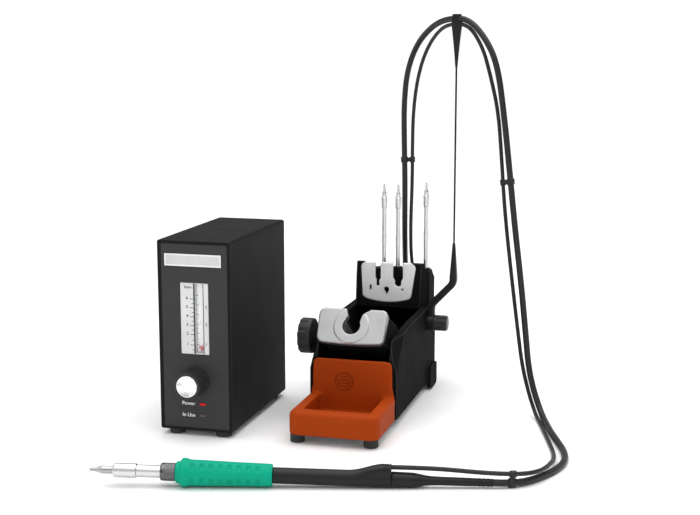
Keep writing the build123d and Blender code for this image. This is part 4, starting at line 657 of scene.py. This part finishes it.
# ---------------------------------------------------------------- badge
# a blank plate: a raised frame round a sunk field
badge_low, badge_high = (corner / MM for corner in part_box("badge_plate"))
BADGE_FRAME, BADGE_SLOPE, BADGE_SUNK = 1.1, 0.2, 0.35
badge_points = []
for inset, y in ((0.0, badge_high.y), (0.0, badge_low.y), (BADGE_FRAME, badge_low.y),
                 (BADGE_FRAME + BADGE_SLOPE, badge_low.y + BADGE_SUNK)):
    left, right = badge_low.x + inset, badge_high.x - inset
    bottom, top = badge_low.z + inset, badge_high.z - inset
    badge_points += [(left, y, bottom), (right, y, bottom), (right, y, top), (left, y, top)]
badge_faces = [(0, 1, 2, 3), (12, 13, 14, 15)]
BADGE_FIELD = 1
for row in (0, 4, 8):
    for k in range(4):
        after = (k + 1) % 4
        badge_faces.append((row + k, row + after, row + 4 + after, row + 4 + k))
badge = smooth_mesh("framed_badge", badge_points, badge_faces)
badge.data.set_sharp_from_angle(angle=radians(20))
place_piece(badge, "root", "badge_metal", "badge_plate")
badge.data.materials.append(finishes["badge_field"])
badge.data.polygons[BADGE_FIELD].material_index = 1


# ---------------------------------------------------------------- mast head
head_low, head_high = (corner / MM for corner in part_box("mast_clip"))
wire_low, wire_high = (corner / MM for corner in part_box("mast_wire"))
head_x, head_y = (wire_low.x + wire_high.x) / 2, (wire_low.y + wire_high.y) / 2
# half width, half depth and height of each section, from the wire up
HEAD = [(0.9, 0.9, head_low.z), (1.5, 1.4, head_low.z + 8), (2.6, 2.2, head_low.z + 20),
        (3.7, 3.0, head_low.z + 30), (4.5, 3.5, head_high.z - 7), (3.6, 3.0, head_high.z - 0.6),
        (3.2, 2.6, head_high.z)]
HEAD_SIDES, HEAD_SQUARE = 48, 6
head_points, head_faces = [], []
for half_x, half_y, z in HEAD:
    for k in range(HEAD_SIDES):
        angle = 2 * pi * k / HEAD_SIDES
        square = (cos(angle) ** HEAD_SQUARE + sin(angle) ** HEAD_SQUARE) ** (-1 / HEAD_SQUARE)
        head_points.append((head_x + half_x * square * cos(angle),
                            head_y + half_y * square * sin(angle), z))
head_faces.append(tuple(range(HEAD_SIDES)))
head_faces.append(tuple(range((len(HEAD) - 1) * HEAD_SIDES, len(HEAD) * HEAD_SIDES)))
for row in range(len(HEAD) - 1):
    for k in range(HEAD_SIDES):
        after = (k + 1) % HEAD_SIDES
        head_faces.append((row * HEAD_SIDES + k, row * HEAD_SIDES + after,
                           (row + 1) * HEAD_SIDES + after, (row + 1) * HEAD_SIDES + k))
head = smooth_mesh("mast_head", head_points, head_faces)
head.data.set_sharp_from_angle(angle=radians(40))
place_piece(head, "mast", "mast_black", "mast_clip")


# ---------------------------------------------------------------- tray
def settle(made):
    """Replaces a mesh by what its modifiers make of it."""
    graph = bpy.context.evaluated_depsgraph_get()
    made.data = bpy.data.meshes.new_from_object(made.evaluated_get(graph))
    made.modifiers.clear()


def soft_copy(name, node, voxel, passes):
    """A copy of a CAD node with every edge rounded off, as a moulding's are."""
    data = nodes[node].data.copy()
    shape = bmesh.new()
    shape.from_mesh(data)
    bmesh.ops.remove_doubles(shape, verts=shape.verts, dist=0.001 * MM)
    shape.to_mesh(data)
    shape.free()
    made = add_object(name, data)
    remesh = made.modifiers.new("remesh", "REMESH")
    remesh.mode = "VOXEL"
    remesh.voxel_size = voxel
    smooth = made.modifiers.new("smooth", "SMOOTH")
    smooth.factor = 0.5
    smooth.iterations = passes
    settle(made)
    for polygon in made.data.polygons:
        polygon.use_smooth = True
    return made


tray = soft_copy("tray_moulding", "tray", 0.6 * MM, 30)
place_piece(tray, "tray", "tray_orange", "tray")


# ---------------------------------------------------------------- printed marks, and painted shade along the meter's slot
INK_DEPTH, LETTER_WEIGHT, RING_INK, RING_STEPS = 0.06, 0.05, 0.04, 12


def printed(name, face_y, ink, bars=(), words=(), rings=()):
    """One thin layer of ink, which also draws painted shade: bars (x, z, width, height), words (text, x,
    z, size) centred on their point, and rings (centre x, centre y, radius, z, height, first angle, last
    angle) round a tube."""
    shape = bmesh.new()
    for x, z, width, height in bars:
        made = bmesh.ops.create_cube(shape, size=1.0)["verts"]
        bmesh.ops.scale(shape, verts=made, vec=(width, INK_DEPTH, height))
        bmesh.ops.translate(shape, verts=made, vec=(x, face_y, z))
    for text, x, z, size in words:
        letters = bpy.data.curves.new(name, "FONT")
        letters.body = text
        letters.size = size
        letters.extrude = INK_DEPTH / 2
        letters.offset = LETTER_WEIGHT
        letters.align_x = "CENTER"
        letters.align_y = "CENTER"
        holder = bpy.data.objects.new(name, letters)
        flat = bpy.data.meshes.new_from_object(holder)
        flat.transform(Matrix.Translation((x, face_y, z)) @ Matrix.Rotation(pi / 2, 4, "X"))
        shape.from_mesh(flat)
        bpy.data.objects.remove(holder)
    for x, y, radius, z, height, first, last in rings:
        rows = []
        for k in range(RING_STEPS + 1):
            angle = first + (last - first) * k / RING_STEPS
            rows.append([shape.verts.new((x + r * sin(angle), y - r * cos(angle), z + h))
                         for r, h in ((radius, -height / 2), (radius, height / 2),
                                      (radius - RING_INK, height / 2),
                                      (radius - RING_INK, -height / 2))])
        for one, two in zip(rows, rows[1:]):
            for k in range(4):
                shape.faces.new((one[k], two[k], two[(k + 1) % 4], one[(k + 1) % 4]))
    data = bpy.data.meshes.new(name)
    shape.to_mesh(data)
    shape.free()
    data.transform(Matrix.Scale(MM, 4))
    made = add_object(name, data)
    made.data.materials.clear()
    made.data.materials.append(inks[ink])
    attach(made, "root")
    return made


plate_low, plate_high = (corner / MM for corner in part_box("scale_plate"))
tube_low, tube_high = (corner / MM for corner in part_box("flow_tube"))
tube_x, tube_y = (tube_low.x + tube_high.x) / 2, (tube_low.y + tube_high.y) / 2
tube_r = (tube_high.x - tube_low.x) / 2
plate_mid = (plate_low.z + plate_high.z) / 2
plate_tall = plate_high.z - plate_low.z
SLOT_SHADE_X, SLOT_SHADE_W = tube_x - tube_r - 0.35, 1.15
RIGHT_SLOT_SHADE_X, RIGHT_SLOT_SHADE_W = tube_x + tube_r + 0.3, 0.6
TICK, SHORT_TICK, TICK_H = 3.0, 1.5, 0.42
left_marks = [72.2, 80.5, 87.4, 94.3, 101.3, 108.2]
left_between = [68.4, 75.9, 83.9, 90.8, 97.5, 104.6]
right_marks = [72.1, 81.2, 88.1, 95.8, 103.3, 110.6]
right_between = [76.5, 84.5, 92.0, 99.5, 107.0]
# the two long bars are painted shade, dark lines down the edges of the tube's slot; the short bars are
# printed ticks
ticks_and_slot_shade = [(SLOT_SHADE_X, plate_mid, SLOT_SHADE_W, plate_tall - 0.6),
              (RIGHT_SLOT_SHADE_X, plate_mid, RIGHT_SLOT_SHADE_W, plate_tall - 0.6)]
ticks_and_slot_shade += [(SLOT_SHADE_X - (SLOT_SHADE_W + TICK) / 2, z, TICK, TICK_H) for z in left_marks]
ticks_and_slot_shade += [(SLOT_SHADE_X - (SLOT_SHADE_W + SHORT_TICK) / 2, z, SHORT_TICK, TICK_H) for z in left_between]
scale_words = [(str(k + 1), plate_low.x + 5.3, z + 0.5, 3.3) for k, z in enumerate(left_marks)]
scale_words += [(str(k), plate_high.x - 2.0, z, 3.0) for k, z in ((1, 73.0), (2, 88.6), (3, 102.2))]
scale_words += [("l/min", plate_low.x + 6.2, plate_high.z - 3.4, 3.0)]
INK_GAP = 0.03
tube_rings = [(tube_x, tube_y, tube_r + INK_GAP, z, 0.4, radians(-80), radians(-12))
              for z in right_marks]
tube_rings += [(tube_x, tube_y, tube_r + INK_GAP, z, 0.35, radians(-80), radians(-38))
               for z in right_between]
printed("scale_print_and_slot_shade", plate_low.y - INK_GAP, "ink_and_slot_shade", ticks_and_slot_shade, scale_words)
printed("tube_print", plate_low.y, "ink_and_slot_shade", rings=tube_rings)
panel_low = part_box("front_panel")[0] / MM
printed("panel_print", panel_low.y - INK_GAP, "label_ink",
        words=[("Power", -111.4, 25.9, 4.1), ("In Use", -111.4, 16.7, 4.1)])
